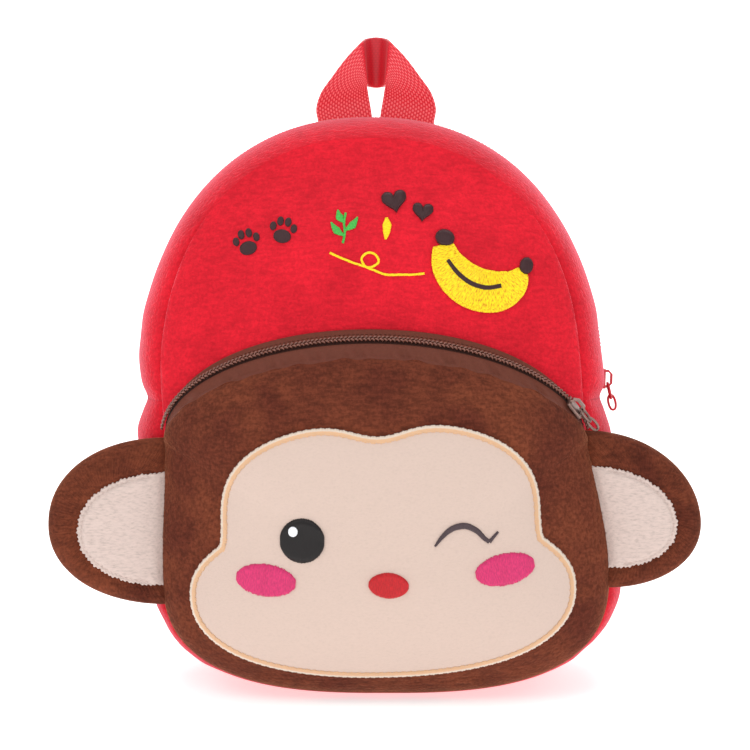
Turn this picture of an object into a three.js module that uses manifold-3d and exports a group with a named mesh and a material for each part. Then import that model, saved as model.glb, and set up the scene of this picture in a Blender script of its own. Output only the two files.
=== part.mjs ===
// Plush backpack for a small child: a red main bag with a zip over its top, a brown front pocket with an
// animal face and two sewn ears, a webbing carrying loop and two shoulder straps.
// Millimetres, +Z up. The bag stands on its flat base, the origin is in the middle of the base, the front
// faces -Y, and the wearer's back is at +Y.
import * as THREE from "three";
import { mergeVertices } from "three/addons/utils/BufferGeometryUtils.js";
import Module from "manifold-3d";

const wasm = await Module();
wasm.setup();

// Main bag
const bagHeight = 246; // floor to the crest of the top gusset
const lowWidth = 188; // between the side seams, at the pocket
const highWidth = 177.6; // between the side seams, above the pocket
const baseDepth = 88; // seam to seam at the floor
const topDepth = 63; // seam to seam at the top
const frontSlope = 17; // the front seam leans back by this much
const baseSeamRise = 3; // the bottom seam lies this far above the floor
const topGussetRise = 10; // the gusset's crest above the top seam
const cornerHeight = 52; // rounding of the two bottom corners, measured up the side
const crownHeight = 106; // rounding of the top, measured down the side
const cornerPower = 2.75; // superellipse power of the bottom corners
const crownPower = 2.25; // superellipse power of the top
const leanLow = 4.6; // the filled bag leans a little: sideways shift of its low part
const leanHigh = -2; // and of its high part
const frontCrown = 16; // how far the red front swells ahead of its seam
const backCrown = 8; // how far the back swells
const gussetFullness = 13; // how far the gusset swells past the seams

// Cloth and fittings
const plushWall = 2.5;
const pocketWall = 2;
const faceWall = 1.4;
const embroideryWall = 1;
const tapeWall = 1;
const webWidth = 25;
const webWall = 1.6;
const gap = 0.3; // clearance between neighbours
const sewnGap = 0.45; // clearance under a patch on a domed panel, measured straight back
const coilWidth = 4.4;
const coilHeight = 2.2;
const zipTapeWidth = 5.6; // of the main zip, each side of its coil
const zipEndHeight = 125; // the cross seams where the main zip ends

// Front pocket
const pocketCrown = 38; // how far the pocket swells ahead of the seam
const pocketCornerHeight = 108; // where the pocket's top edge runs into the side seams
const pocketRise = 36.8; // height of the pocket's arched top edge above those corners
const zipRise = 48; // height of the zip's upper edge above those corners
const zipInset = 0.6; // the zip's upper edge starts this far inside the side seams
const zipEndInset = 2.5; // the zip's two ends stop this far short of the pocket's corners
const pocketStep = 12; // the pocket's top edge stands this far ahead of the red front
const pocketMiddle = 62; // height of the pocket's deepest point
const sliderInset = 3.2; // the pocket's slider stands this far in from the right end of its zip

// Ears: root on the side seam. The sizes are the left ear's, and the rows give what each ear has of them.
const earThickness = 9;
const earEdge = 3;
const earHeight = 75; // middle of the ear above the floor
const earLift = 5; // the right ear sits this much higher
const earHalfHeight = 35;
const earReach = 48; // out from the seam
const patchDrop = 3; // the inner patch's middle lies this much lower
const patchHalfHeight = 23.5;
const patchReach = 35;
const patchInset = 1.5; // between the patch and the seam
const ears = [
  { side: "left", sign: -1, lift: 0, tall: 1, far: 1, patchTall: 1, patchFar: 1 },
  { side: "right", sign: 1, lift: earLift, tall: 0.943, far: 0.854, patchTall: 0.902, patchFar: 0.857 },
];

// Face applique, in the plane of the front, about its own middle
const faceShift = 3.2; // sideways, from the middle of the bag
const muzzleHalfWidth = 79.6;
const muzzleHeight = 48; // height of the muzzle's widest line
const muzzleDrop = 35;
const muzzleRise = 33;
const browHalfWidth = 65.2;
const browHeight = 80;
const browRise = 39.2;
const browDip = 5.7; // the notch in the middle of the brow
const browDipWidth = 11;
const faceTilt = 1.6; // degrees, right side up

// Features on the face, placed from the middle of the muzzle line: across, up, half sizes, tilt in degrees
const features = [
  { name: "eye", across: -32.7, up: 23.7, halfWidth: 9, halfHeight: 9, tilt: 0, colour: 0x2a2122 },
  { name: "nose", across: 2.3, up: 5.7, halfWidth: 8.3, halfHeight: 5.3, tilt: -4, colour: 0xce1f27 },
  { name: "cheek_left", across: -47.6, up: 7.1, halfWidth: 12.5, halfHeight: 6.6, tilt: -5, colour: 0xdb3c80 },
  { name: "cheek_right", across: 49.7, up: 11.6, halfWidth: 12.5, halfHeight: 6.5, tilt: 10, colour: 0xdb3c80 },
];
const winkMiddle = { across: 32.6, up: 25.6 };
const winkHalfWidth = 11.2;
const winkRise = 7.4;
const winkLine = 1.8;

// Embroidery on the red front
const heartWidth = 10.6;
const hearts = [
  { name: "heart_large", across: 0.0456 * highWidth, height: 0.852 * bagHeight, width: heartWidth, tilt: 10 },
  { name: "heart_small", across: 0.1126 * highWidth, height: 0.8333 * bagHeight, width: 0.84 * heartWidth, tilt: 0 },
];
const banana = {
  across: 0.2506 * highWidth, height: 0.7215 * bagHeight, halfWidth: 21.5, sag: 14, belly: 13.4, tilt: -17,
};

// Straps and loop
const loopRise = 39.5; // top of the carrying loop above the bag's crest
const loopLap = 12; // length of webbing sewn flat below the seam
const loopAcross = 0.5; // middle of the loop, sideways
const strapTopAcross = 0.383 * (highWidth / 2);
const strapTopHeight = bagHeight - topGussetRise - 14;
const strapFootAcross = lowWidth / 2 - 22;
const strapFootHeight = 26;
const strapBow = 46; // how far the strap stands off behind the back
const buckleShare = 0.66; // where along the strap the buckle sits
const buckleBar = 3;
const buckleWindow = 6;
const buckleWall = 3;
const buckleSide = 1; // room beside the webbing in its windows
const strapTail = 34; // webbing left over below the buckle

// Zip pulls
const wire = 1.3; // thickness of the ring wire
const ringLength = 8.5;
const ringWidth = 5.4;
const linkLength = 8;
const linkWidth = 4.4;
const sliderLength = 8.6;
const sliderWidth = 6.4;
const sliderWall = 1.4;
const crownLength = 8; // the slider's open crown, along the zip
const crownLift = 3.3; // above the slider's plate
const crownBar = 1.1;
const crownWidth = 1.8;
const ringPlay = 0.5; // the ring's play in the crown
const mainSliderInset = 6.6; // the main slider stands this far up from the end of its zip

// Fineness of the meshes
const panelSteps = 48;
const pocketSteps = 54;
const rimShares = [0, 0.3, 0.56, 0.76, 0.9, 0.97, 1];
const liningShares = [0, 0.35, 0.65, 0.88, 1];
const faceSteps = 48;
const faceShares = [0, 0.26, 0.5, 0.7, 0.87, 1];
const lowGussetSteps = 36;
const highGussetSteps = 28;
const zipSteps = 26;

// How far the gusset swells past the seam, as a share of its fullness, by share of the bag's height
const gussetTable = [
  { height: 0, out: 0.4 },
  { height: 0.13, out: 0.6 },
  { height: 0.25, out: 0.77 },
  { height: 0.37, out: 1 },
  { height: 0.45, out: 1.15 },
  { height: 0.508, out: 0.9 },
  { height: 0.57, out: 1.02 },
  { height: 0.77, out: 0.85 },
  { height: 1, out: 0.77 },
];

// One half of the carrying loop, from its sewn foot to the middle of its bend. outer and inner are the two
// edges' distances from the middle in webbing widths, their rises are shares of the loop's own rise, and
// back is how far the webbing is set back, in webbing widths.
const loopTable = [
  { outer: 1.06, outerRise: 0, inner: 0.075, innerRise: 0.07, back: 0 },
  { outer: 1.09, outerRise: 0.19, inner: 0.13, innerRise: 0.29, back: 0 },
  { outer: 1.01, outerRise: 0.34, inner: 0.15, innerRise: 0.37, back: -0.04 },
  { outer: 0.8, outerRise: 0.53, inner: 0.16, innerRise: 0.4, back: -0.07 },
  { outer: 0.52, outerRise: 0.76, inner: 0.165, innerRise: 0.42, back: -0.08 },
  { outer: 0.26, outerRise: 0.93, inner: 0.17, innerRise: 0.425, back: -0.04 },
  { outer: 0.2, outerRise: 0.97, inner: 0.17, innerRise: 0.425, back: 0.13 },
  { outer: 0.12, outerRise: 0.99, inner: 0.1, innerRise: 0.42, back: 0.26 },
  { outer: 0, outerRise: 1, inner: 0, innerRise: 0.415, back: 0.3 },
];

// Stand-off of a shoulder strap from the back, as a share of its bow, by share of its run
const strapTable = [
  { run: 0, off: 0 },
  { run: 0.06, off: 0 },
  { run: 0.12, off: 0.12 },
  { run: 0.2, off: 0.45 },
  { run: 0.32, off: 0.84 },
  { run: 0.45, off: 1 },
  { run: 0.58, off: 0.94 },
  { run: 0.7, off: 0.76 },
  { run: 0.8, off: 0.54 },
  { run: 0.88, off: 0.3 },
  { run: 0.94, off: 0.06 },
  { run: 1, off: 0 },
];

const mix = (a, b, k) => a + (b - a) * k;
const clamp01 = (k) => Math.min(1, Math.max(0, k));
const smooth = (k) => clamp01(k) ** 2 * (3 - 2 * clamp01(k));
const radians = THREE.MathUtils.degToRad;
const steps = (count, from = 0, to = 1) => Array.from({ length: count + 1 }, (_, i) => mix(from, to, i / count));

// Value of one column of a table at a place along another, with straight lines between rows.
function lookUp(table, key, column, at) {
  const next = table.findIndex((row) => row[key] >= at);
  if (next < 0) return table[table.length - 1][column];
  if (next === 0) return table[0][column];
  const [a, b] = [table[next - 1], table[next]];
  return mix(a[column], b[column], (at - a[key]) / (b[key] - a[key]));
}

// One coordinate of a superellipse at an angle: the cosine or sine raised to 2 over the power, sign kept.
const bowed = (value, power) => Math.sign(value) * Math.abs(value) ** (2 / power);

// Sideways lean of the whole bag at a height.
const leanFrom = bagHeight * 0.2;
const leanTo = bagHeight * 0.61;
const lean = (z) => mix(leanLow, leanHigh, smooth((z - leanFrom) / (leanTo - leanFrom)));

const topSeam = bagHeight - topGussetRise;
const seamFront = (z) => -baseDepth / 2 + (frontSlope * z) / topSeam;
const seamBack = (z) => baseDepth / 2 - ((baseDepth - topDepth - frontSlope) * z) / topSeam;

// A closed line resampled so that its points lie at even distances, starting at its first point.
function evenly(line, count) {
  const run = [0];
  line.forEach((p, i) => i && run.push(run[i - 1] + p.distanceTo(line[i - 1])));
  const total = run[run.length - 1];
  return steps(count).map((share) => {
    const at = Math.max(1, run.findIndex((r) => r >= share * total - 1e-9));
    const part = (share * total - run[at - 1]) / (run[at] - run[at - 1]);
    return line[at - 1].clone().lerp(line[at], part);
  });
}

// The seam line that the front, back and gusset share, seen from the front and without the lean: x across and
// y up. Half of it, from the middle of the bottom up the right side to the middle of the top.
function halfSeam() {
  const cornerTop = baseSeamRise + cornerHeight;
  const crownFoot = topSeam - crownHeight;
  const line = [];
  for (const turn of steps(60, -Math.PI / 2, 0)) {
    const x = (lowWidth / 2) * bowed(Math.cos(turn), cornerPower);
    line.push(new THREE.Vector2(x, cornerTop + cornerHeight * bowed(Math.sin(turn), cornerPower)));
  }
  for (const share of steps(20).slice(1)) {
    const z = mix(cornerTop, crownFoot, share);
    line.push(new THREE.Vector2(mix(lowWidth, highWidth, smooth(share * 1.2)) / 2, z));
  }
  for (const turn of steps(60, 0, Math.PI / 2).slice(1)) {
    const x = (highWidth / 2) * bowed(Math.cos(turn), crownPower);
    line.push(new THREE.Vector2(x, crownFoot + crownHeight * bowed(Math.sin(turn), crownPower)));
  }
  return line;
}

const rightSeam = halfSeam();
const wholeSeam = [
  ...rightSeam,
  ...rightSeam.slice(1, -1).reverse().map((p) => new THREE.Vector2(-p.x, p.y)),
  rightSeam[0].clone(),
];

// The distance from a middle to an outline in any direction, for an outline that shows itself whole from there.
function reachOf(outline, middle) {
  const rays = outline
    .map((p) => ({ angle: Math.atan2(p.y - middle.y, p.x - middle.x), reach: p.distanceTo(middle) }))
    .sort((a, b) => a.angle - b.angle);
  const first = rays[0];
  const last = rays[rays.length - 1];
  const table = [
    { angle: last.angle - 2 * Math.PI, reach: last.reach },
    ...rays,
    { angle: first.angle + 2 * Math.PI, reach: first.reach },
  ];
  return (x, z) => lookUp(table, "angle", "reach", Math.atan2(z - middle.y, x - middle.x));
}

const domePower = 2.4;
const domeEdge = 0.7;
const swell = (share) => (1 - clamp01(share) ** domePower) ** domeEdge;

const bagMiddle = new THREE.Vector2(0, bagHeight * 0.45);
const seamReach = reachOf(wholeSeam, bagMiddle);
const seamShare = (x, z) => Math.hypot(x - bagMiddle.x, z - bagMiddle.y) / seamReach(x, z);

// Outer surface of the red front at a place across and up, in the bag's own frame with its lean.
const redRim = (z) => seamFront(z) - gap - plushWall;
const redFront = (x, z) => redRim(z) - frontCrown * swell(seamShare(x - lean(z), z));
const backRim = (z) => seamBack(z) + gap + plushWall;
const redBack = (x, z) => backRim(z) + backCrown * swell(seamShare(x - lean(z), z));

// The pocket's outline: the seam below its corners and the arch above, round the pocket's middle.
const archHalf = lookUp(
  rightSeam.map((p) => ({ z: p.y, x: p.x })), "z", "x", pocketCornerHeight);
const archPower = 1.85;
const zipPower = 2.1;
const above = (x, half, rise, power) => pocketCornerHeight
  + rise * (1 - Math.min(1, Math.abs(x) / half) ** power) ** (1 / power);
const archHeight = (x) => above(x, archHalf, pocketRise, archPower);
const zipHeight = (x) => above(x, archHalf - zipInset, zipRise, zipPower);
const archStep = (x) => pocketStep * (1 - Math.min(1, Math.abs(x) / archHalf) ** 2) ** 0.3;
const archLine = steps(60, 0, Math.PI).map((turn) => {
  const x = archHalf * bowed(Math.cos(turn), archPower);
  return new THREE.Vector2(x, archHeight(x));
});
const belowCorner = rightSeam.filter((p) => p.y < pocketCornerHeight);
const pocketLine = [
  ...belowCorner,
  ...archLine,
  ...belowCorner.slice(1).reverse().map((p) => new THREE.Vector2(-p.x, p.y)),
  rightSeam[0].clone(),
];
const pocketCentre = new THREE.Vector2(0, pocketMiddle);
const pocketReach = reachOf(pocketLine, pocketCentre);

// Where the pocket's edge lies, by the direction from the pocket's middle: on the seam, or ahead of the red
// front under the arch.
const pocketRim = (z) => redRim(z) - gap - pocketWall;
function pocketEdge(x, z) {
  const reach = pocketReach(x, z);
  const far = Math.hypot(x - pocketCentre.x, z - pocketCentre.y) || 1;
  const edgeX = pocketCentre.x + ((x - pocketCentre.x) * reach) / far;
  const edgeZ = pocketCentre.y + ((z - pocketCentre.y) * reach) / far;
  if (edgeZ < pocketCornerHeight) return pocketRim(edgeZ);
  const ahead = redFront(edgeX + lean(edgeZ), edgeZ) - gap - pocketWall;
  return ahead - archStep(edgeX);
}
const pocketDepth = seamFront(pocketMiddle) - pocketCrown;
function pocketFront(x, z) {
  const flatX = x - lean(z);
  const share = Math.hypot(flatX - pocketCentre.x, z - pocketCentre.y) / pocketReach(flatX, z);
  const edge = pocketEdge(flatX, z);
  return edge + (pocketDepth - edge) * swell(share);
}

// Solids from grids of points
// A closed solid as a three.js geometry from its corner points and triangles, with the faces turned outwards.
function solid(points, triangles) {
  let volume = 0;
  for (const [a, b, c] of triangles) {
    volume += points[a].dot(new THREE.Vector3().crossVectors(points[b], points[c]));
  }
  const turned = volume < 0 ? triangles.map(([a, b, c]) => [a, c, b]) : triangles;
  const geometry = new THREE.BufferGeometry();
  geometry.setAttribute("position", new THREE.Float32BufferAttribute(points.flatMap((p) => p.toArray()), 3));
  geometry.setIndex(turned.flat());
  geometry.computeVertexNormals();
  return geometry;
}

// A wall between two grids of the same size, closed round its four edges.
function wall(outer, inner) {
  const [rows, columns] = [outer.length, outer[0].length];
  const points = [...outer.flat(), ...inner.flat()];
  const at = (side, i, j) => side * rows * columns + i * columns + j;
  const triangles = [];
  const quad = (a, b, c, d) => triangles.push([a, b, c], [a, c, d]);
  for (let i = 0; i < rows - 1; i++) {
    for (let j = 0; j < columns - 1; j++) {
      quad(at(0, i, j), at(0, i + 1, j), at(0, i + 1, j + 1), at(0, i, j + 1));
      quad(at(1, i, j), at(1, i, j + 1), at(1, i + 1, j + 1), at(1, i + 1, j));
    }
    quad(at(0, i, 0), at(1, i, 0), at(1, i + 1, 0), at(0, i + 1, 0));
    quad(at(0, i, columns - 1), at(0, i + 1, columns - 1), at(1, i + 1, columns - 1), at(1, i, columns - 1));
  }
  for (let j = 0; j < columns - 1; j++) {
    quad(at(0, 0, j), at(0, 0, j + 1), at(1, 0, j + 1), at(1, 0, j));
    quad(at(0, rows - 1, j), at(1, rows - 1, j), at(1, rows - 1, j + 1), at(0, rows - 1, j + 1));
  }
  return solid(points, triangles);
}

// A round pad: rings from its middle to its rim on the front and on the back, joined round the rim. The first
// ring of each side is one point, and every other ring has the same count.
function pad(frontRings, backRings) {
  const points = [];
  const index = [frontRings, backRings].map((rings) => rings.map((ring) => ring.map((p) => points.push(p) - 1)));
  const triangles = [];
  index.forEach((rings, side) => {
    const turn = (a, b, c) => triangles.push(side ? [a, c, b] : [a, b, c]);
    rings.forEach((ring, i) => {
      if (i === 0) return;
      const before = rings[i - 1];
      ring.forEach((_, k) => {
        const next = (k + 1) % ring.length;
        if (before.length === 1) turn(before[0], ring[k], ring[next]);
        else {
          turn(before[k], ring[k], ring[next]);
          turn(before[k], ring[next], before[next]);
        }
      });
    });
  });
  const [front, back] = index.map((rings) => rings[rings.length - 1]);
  front.forEach((_, k) => {
    const next = (k + 1) % front.length;
    triangles.push([front[k], back[k], back[next]], [front[k], back[next], front[next]]);
  });
  return solid(points, triangles);
}

// Rings of points for a pad: the outline drawn in towards its middle by each share, at the depth that a
// function of place and share gives.
function ringsOf(outline, middle, shares, depthAt) {
  return shares.map((share) => (share === 0 ? [middle] : outline).map((p) => {
    const x = mix(middle.x, p.x, share);
    const z = mix(middle.y, p.y, share);
    return new THREE.Vector3(x, depthAt(x, z, share), z);
  }));
}

// A patch that lies on a surface: its back follows the surface with a small clearance, its front is one
// thickness ahead.
function patch(outline, middle, surface, thickness, shares, clear = sewnGap) {
  const lifted = (lift) => ringsOf(outline, middle, shares, (x, z) => surface(x, z) - lift);
  return pad(lifted(clear + thickness), lifted(clear));
}

// A closed wire ring from its middle line, which lies in the plane square to the given direction.
function wireRing(line, square, thickness, sides = 6) {
  const points = [];
  const count = line.length;
  line.forEach((p, i) => {
    const along = line[(i + 1) % count].clone().sub(line[(i + count - 1) % count]).normalize();
    const side = new THREE.Vector3().crossVectors(along, square);
    for (let k = 0; k < sides; k++) {
      const turn = (2 * Math.PI * k) / sides;
      const out = square.clone().multiplyScalar(Math.cos(turn)).addScaledVector(side, Math.sin(turn));
      points.push(p.clone().addScaledVector(out, thickness / 2));
    }
  });
  const triangles = [];
  for (let i = 0; i < count; i++) {
    for (let k = 0; k < sides; k++) {
      const [a, b] = [i * sides + k, i * sides + ((k + 1) % sides)];
      const [c, d] = [((i + 1) % count) * sides + k, ((i + 1) % count) * sides + ((k + 1) % sides)];
      triangles.push([a, c, d], [a, d, b]);
    }
  }
  return solid(points, triangles);
}

// Joining and cutting of closed geometries
function asManifold(geometry) {
  const bare = geometry.clone();
  bare.deleteAttribute("normal");
  bare.deleteAttribute("uv");
  const merged = mergeVertices(bare, 1e-4);
  return new wasm.Manifold(new wasm.Mesh({
    numProp: 3,
    vertProperties: new Float32Array(merged.attributes.position.array),
    triVerts: new Uint32Array(merged.index.array),
  }));
}

function asGeometry(manifold) {
  const mesh = manifold.getMesh();
  const geometry = new THREE.BufferGeometry();
  geometry.setAttribute("position", new THREE.BufferAttribute(mesh.vertProperties, 3));
  geometry.setIndex(new THREE.BufferAttribute(mesh.triVerts, 1));
  geometry.computeVertexNormals();
  return geometry;
}

const bag = new THREE.Group();

function addPiece(name, geometry, colour, roughness = 0.95, metalness = 0) {
  const mesh = new THREE.Mesh(geometry, new THREE.MeshStandardMaterial({ color: colour, roughness, metalness }));
  mesh.name = name;
  bag.add(mesh);
  return mesh;
}

const colours = {
  redPlush: 0xe5233b,
  brownPlush: 0x6f3f2b,
  brownTape: 0x6e453a,
  darkCoil: 0x4a302a,
  face: 0xecd6c8,
  earPatch: 0xdcc8bf,
  darkThread: 0x4a2a30,
  wink: 0x4a3c40,
  banana: 0xf6db1f,
  redWeb: 0xe8303f,
  redMetal: 0xd8303c,
  pewter: 0x8a7068,
  redPlastic: 0xc8222e,
};

// Panels
// A domed panel inside the seam, rim to middle, one wall thick straight through.
function panel(surface, inwards, thickness) {
  const outline = evenly(wholeSeam, panelSteps).slice(0, -1);
  const leaned = (shares, shift) => ringsOf(outline, bagMiddle, shares, (x, z) => surface(x + lean(z), z) + shift)
    .map((ring) => ring.map((p) => p.setX(p.x + lean(p.z))));
  return pad(leaned(rimShares, 0), leaned(liningShares, inwards * thickness));
}

addPiece("front_panel", panel(redFront, 1, plushWall), colours.redPlush);
addPiece("back_panel", panel(redBack, -1, plushWall), colours.redPlush);

function pocketPanel() {
  const outline = evenly(pocketLine, pocketSteps).slice(0, -1);
  const leaned = (shares, shift) => ringsOf(outline, pocketCentre, shares, (x, z) => pocketFront(x + lean(z), z) + shift)
    .map((ring) => ring.map((p) => p.setX(p.x + lean(p.z))));
  return pad(leaned(rimShares, 0), leaned(liningShares, pocketWall));
}

addPiece("pocket_panel", pocketPanel(), colours.brownPlush);

// Gusset
// A place on the gusset: run is the share of the half seam from the bottom middle (0) to the top middle (1),
// below 0 on the left side, and across is the share of the way from the front seam to the back seam. The
// strip swells outwards between its seams, and its underside is pressed flat on the floor.
const seamSteps = 200;
const seamRuns = evenly(rightSeam, seamSteps);
function seamAt(run) {
  const share = Math.abs(run) * seamSteps;
  const low = Math.min(seamSteps - 1, Math.floor(share));
  const point = seamRuns[low].clone().lerp(seamRuns[low + 1], share - low);
  const along = seamRuns[Math.min(seamSteps, low + 2)].clone().sub(seamRuns[Math.max(0, low - 1)]).normalize();
  const sign = run < 0 ? -1 : 1;
  return { x: sign * point.x, z: point.y, outX: sign * along.y, outZ: -along.x };
}
const gussetPower = 2.6;
const gussetEdge = 0.62;
function gussetPoint(run, across, depth) {
  const seam = seamAt(run);
  const full = gussetFullness * lookUp(gussetTable, "height", "out", seam.z / bagHeight);
  const out = full * (1 - Math.abs(2 * across - 1) ** gussetPower) ** gussetEdge - depth;
  const z = Math.max(seam.z + seam.outZ * out, depth);
  const x = seam.x + seam.outX * out;
  return new THREE.Vector3(x + lean(z), mix(seamFront(seam.z), seamBack(seam.z), across), z);
}

function gussetStrip(runs, acrosses, depth, thickness) {
  const grid = (at) => runs.map((run) => acrosses.map((across) => gussetPoint(run, across, at)));
  return wall(grid(depth), grid(depth + thickness));
}

const zipEnd = seamRuns.findIndex((p) => p.y > zipEndHeight) / seamSteps;
const halfSeamLength = rightSeam.reduce((sum, p, i) => sum + (i ? p.distanceTo(rightSeam[i - 1]) : 0), 0);
const crossGap = gap / halfSeamLength;
const lowRuns = steps(lowGussetSteps, -(zipEnd - crossGap), zipEnd - crossGap);
const highRuns = steps(highGussetSteps, zipEnd + crossGap, 2 - zipEnd - crossGap)
  .map((run) => (run > 1 ? run - 2 : run));
const middleDepth = (baseDepth + topDepth) / 2;
const halfCoil = (coilWidth / 2 + gap) / middleDepth;
const halfZip = halfCoil + (zipTapeWidth + gap) / middleDepth;
const sinkClear = 0.04; // the plush narrows a little towards the zip, because the tapes lie deeper
const seamClear = sinkClear / middleDepth;
const wholeAcross = [0, 0.07, 0.22, 0.5, 0.78, 0.93, 1];
addPiece("gusset_lower", gussetStrip(lowRuns, wholeAcross, 0, plushWall), colours.redPlush);
const frontHalf = [0, 0.07, 0.22, 0.5 - halfZip - seamClear];
addPiece("gusset_zip_front", gussetStrip(highRuns, frontHalf, 0, plushWall), colours.redPlush);
addPiece("gusset_zip_back", gussetStrip(highRuns, frontHalf.map((v) => 1 - v), 0, plushWall), colours.redPlush);

// Main zip in the middle of the gusset: two tapes and the coil between them, a little below the plush.
const tapeInner = 0.5 - halfCoil - gap / middleDepth;
const tapeOuter = 0.5 - halfZip + gap / middleDepth;
const tapeSink = 0.6;
addPiece("main_tape_front", gussetStrip(highRuns, [tapeOuter, tapeInner], tapeSink, tapeWall), colours.redWeb);
addPiece("main_tape_back", gussetStrip(highRuns, [1 - tapeOuter, 1 - tapeInner], tapeSink, tapeWall), colours.redWeb);
const coilShare = coilWidth / 2 / middleDepth;
addPiece("main_coil", gussetStrip(highRuns, [0.5 - coilShare, 0.5, 0.5 + coilShare], 0, coilHeight), colours.redMetal, 0.5);

// Pocket zip, on the slope between the red front and the pocket's top edge
// A place on it: x across, and share from the pocket's edge (0) to the upper edge on the red front (1).
function bandPoint(x, share, lift) {
  const low = archHeight(x);
  const high = zipHeight(x);
  const [lowX, highX] = [x + lean(low), x + lean(high)];
  const lowY = redFront(lowX, low) - gap - archStep(x);
  const highY = redFront(highX, high) - gap;
  return new THREE.Vector3(mix(lowX, highX, share), mix(lowY, highY, share) - lift, mix(low, high, share));
}
const bandHalf = archHalf - zipEndInset;
const bandPlaces = steps(zipSteps, 0, Math.PI).map((turn) => bandHalf * Math.cos(turn));
const bandLift = 0.6;
// Shares of the band's width: the lower tape, the coil and the upper tape
const lowerTape = [0.05, 0.45];
const coilBand = [0.49, 0.6, 0.71];
const upperTape = [0.75, 1];
function bandStrip(columns, thickness) {
  const grid = (lift) => bandPlaces.map((x) => columns.map((share) => bandPoint(x, share, lift)));
  return wall(grid(bandLift + thickness), grid(bandLift));
}
addPiece("pocket_tape_lower", bandStrip(lowerTape, tapeWall), colours.brownTape, 0.7);
addPiece("pocket_coil", bandStrip(coilBand, coilHeight), colours.darkCoil, 0.5);
addPiece("pocket_tape_upper", bandStrip(upperTape, tapeWall), colours.brownTape, 0.7);

// Face applique
function faceOutline(count) {
  const tilt = radians(faceTilt);
  const middle = new THREE.Vector2(0, (browHeight - muzzleHeight) / 2);
  const lobes = [
    { up: 0, half: muzzleHalfWidth, rise: muzzleRise, drop: muzzleDrop, power: 2.25 },
    { up: browHeight - muzzleHeight, half: browHalfWidth, rise: browRise, drop: browRise, power: 2.5 },
  ];
  const dense = lobes.flatMap((lobe) => steps(240, 0, 2 * Math.PI).map((turn) => {
    const x = lobe.half * bowed(Math.cos(turn), lobe.power);
    const rise = Math.sin(turn) > 0 ? lobe.rise : lobe.drop;
    const dip = lobe.up > 0 && Math.sin(turn) > 0 ? browDip * Math.exp(-((x / browDipWidth) ** 2) / 2) : 0;
    return { x, y: lobe.up + rise * bowed(Math.sin(turn), lobe.power) - dip, lobe: lobe.up };
  }));
  const rays = lobes.map((lobe) => reachOf(
    dense.filter((p) => p.lobe === lobe.up).map((p) => new THREE.Vector2(p.x, p.y)), middle));
  return steps(count, 0, 2 * Math.PI).slice(0, -1).map((turn) => {
    const [x, y] = [Math.cos(turn), Math.sin(turn)];
    const reach = Math.max(...rays.map((ray) => ray(middle.x + x, middle.y + y)));
    const [px, py] = [middle.x + x * reach, middle.y + y * reach];
    return new THREE.Vector2(
      faceShift + px * Math.cos(tilt) - py * Math.sin(tilt),
      muzzleHeight + py * Math.cos(tilt) + px * Math.sin(tilt));
  });
}
const faceMiddle = new THREE.Vector2(faceShift, (muzzleHeight + browHeight) / 2);
addPiece("face_applique", patch(faceOutline(faceSteps), faceMiddle, pocketFront, faceWall, faceShares), colours.face);

const faceFront = (x, z) => pocketFront(x, z) - sewnGap - faceWall;
function ovalOutline(middle, halfWidth, halfHeight, tilt, count = 20) {
  return steps(count, 0, 2 * Math.PI).slice(0, -1).map((turn) => new THREE.Vector2(
    halfWidth * Math.cos(turn), halfHeight * Math.sin(turn)).rotateAround(new THREE.Vector2(), radians(tilt)).add(middle));
}
for (const row of features) {
  const middle = new THREE.Vector2(faceShift + row.across, muzzleHeight + row.up);
  const outline = ovalOutline(middle, row.halfWidth, row.halfHeight, row.tilt);
  addPiece(row.name, patch(outline, middle, faceFront, embroideryWall, [0, 1], gap), row.colour, 0.6);
}

// A band of stitching along a line on a surface, with its width given at each place.
function stitchedLine(line, halfWidths, surface) {
  const grid = (lift) => line.map((p, i) => {
    const along = line[Math.min(line.length - 1, i + 1)].clone().sub(line[Math.max(0, i - 1)]).normalize();
    return [-1, 0, 1].map((side) => {
      const x = p.x - along.y * halfWidths[i] * side;
      const z = p.y + along.x * halfWidths[i] * side;
      return new THREE.Vector3(x, surface(x, z) - lift, z);
    });
  });
  return wall(grid(gap + embroideryWall), grid(gap));
}

// The closed eye: an arched line that is thickest at its crest.
const winkLineAt = (share) => new THREE.Vector2(
  faceShift + winkMiddle.across + winkHalfWidth * (2 * share - 1),
  muzzleHeight + winkMiddle.up + winkRise * (4 * share * (1 - share)) - winkRise / 2);
const winkShares = steps(12);
addPiece("wink", stitchedLine(
  winkShares.map(winkLineAt), winkShares.map((share) => (winkLine / 2) * (0.45 + 0.55 * Math.sin(Math.PI * share))), faceFront),
colours.wink, 0.6);

// Embroidery on the red front
function heartOutline(row) {
  const half = row.width / 2;
  return steps(22, 0, 2 * Math.PI).slice(0, -1).map((turn) => new THREE.Vector2(
    half * Math.sin(turn) ** 3,
    (half * (13 * Math.cos(turn) - 5 * Math.cos(2 * turn) - 2 * Math.cos(3 * turn) - Math.cos(4 * turn))) / 16,
  ).rotateAround(new THREE.Vector2(), radians(row.tilt)).add(new THREE.Vector2(row.across, row.height)));
}
for (const row of hearts) {
  const middle = new THREE.Vector2(row.across, row.height);
  addPiece(row.name, patch(heartOutline(row), middle, redFront, embroideryWall, [0, 1], gap), colours.darkThread, 0.6);
}

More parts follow.
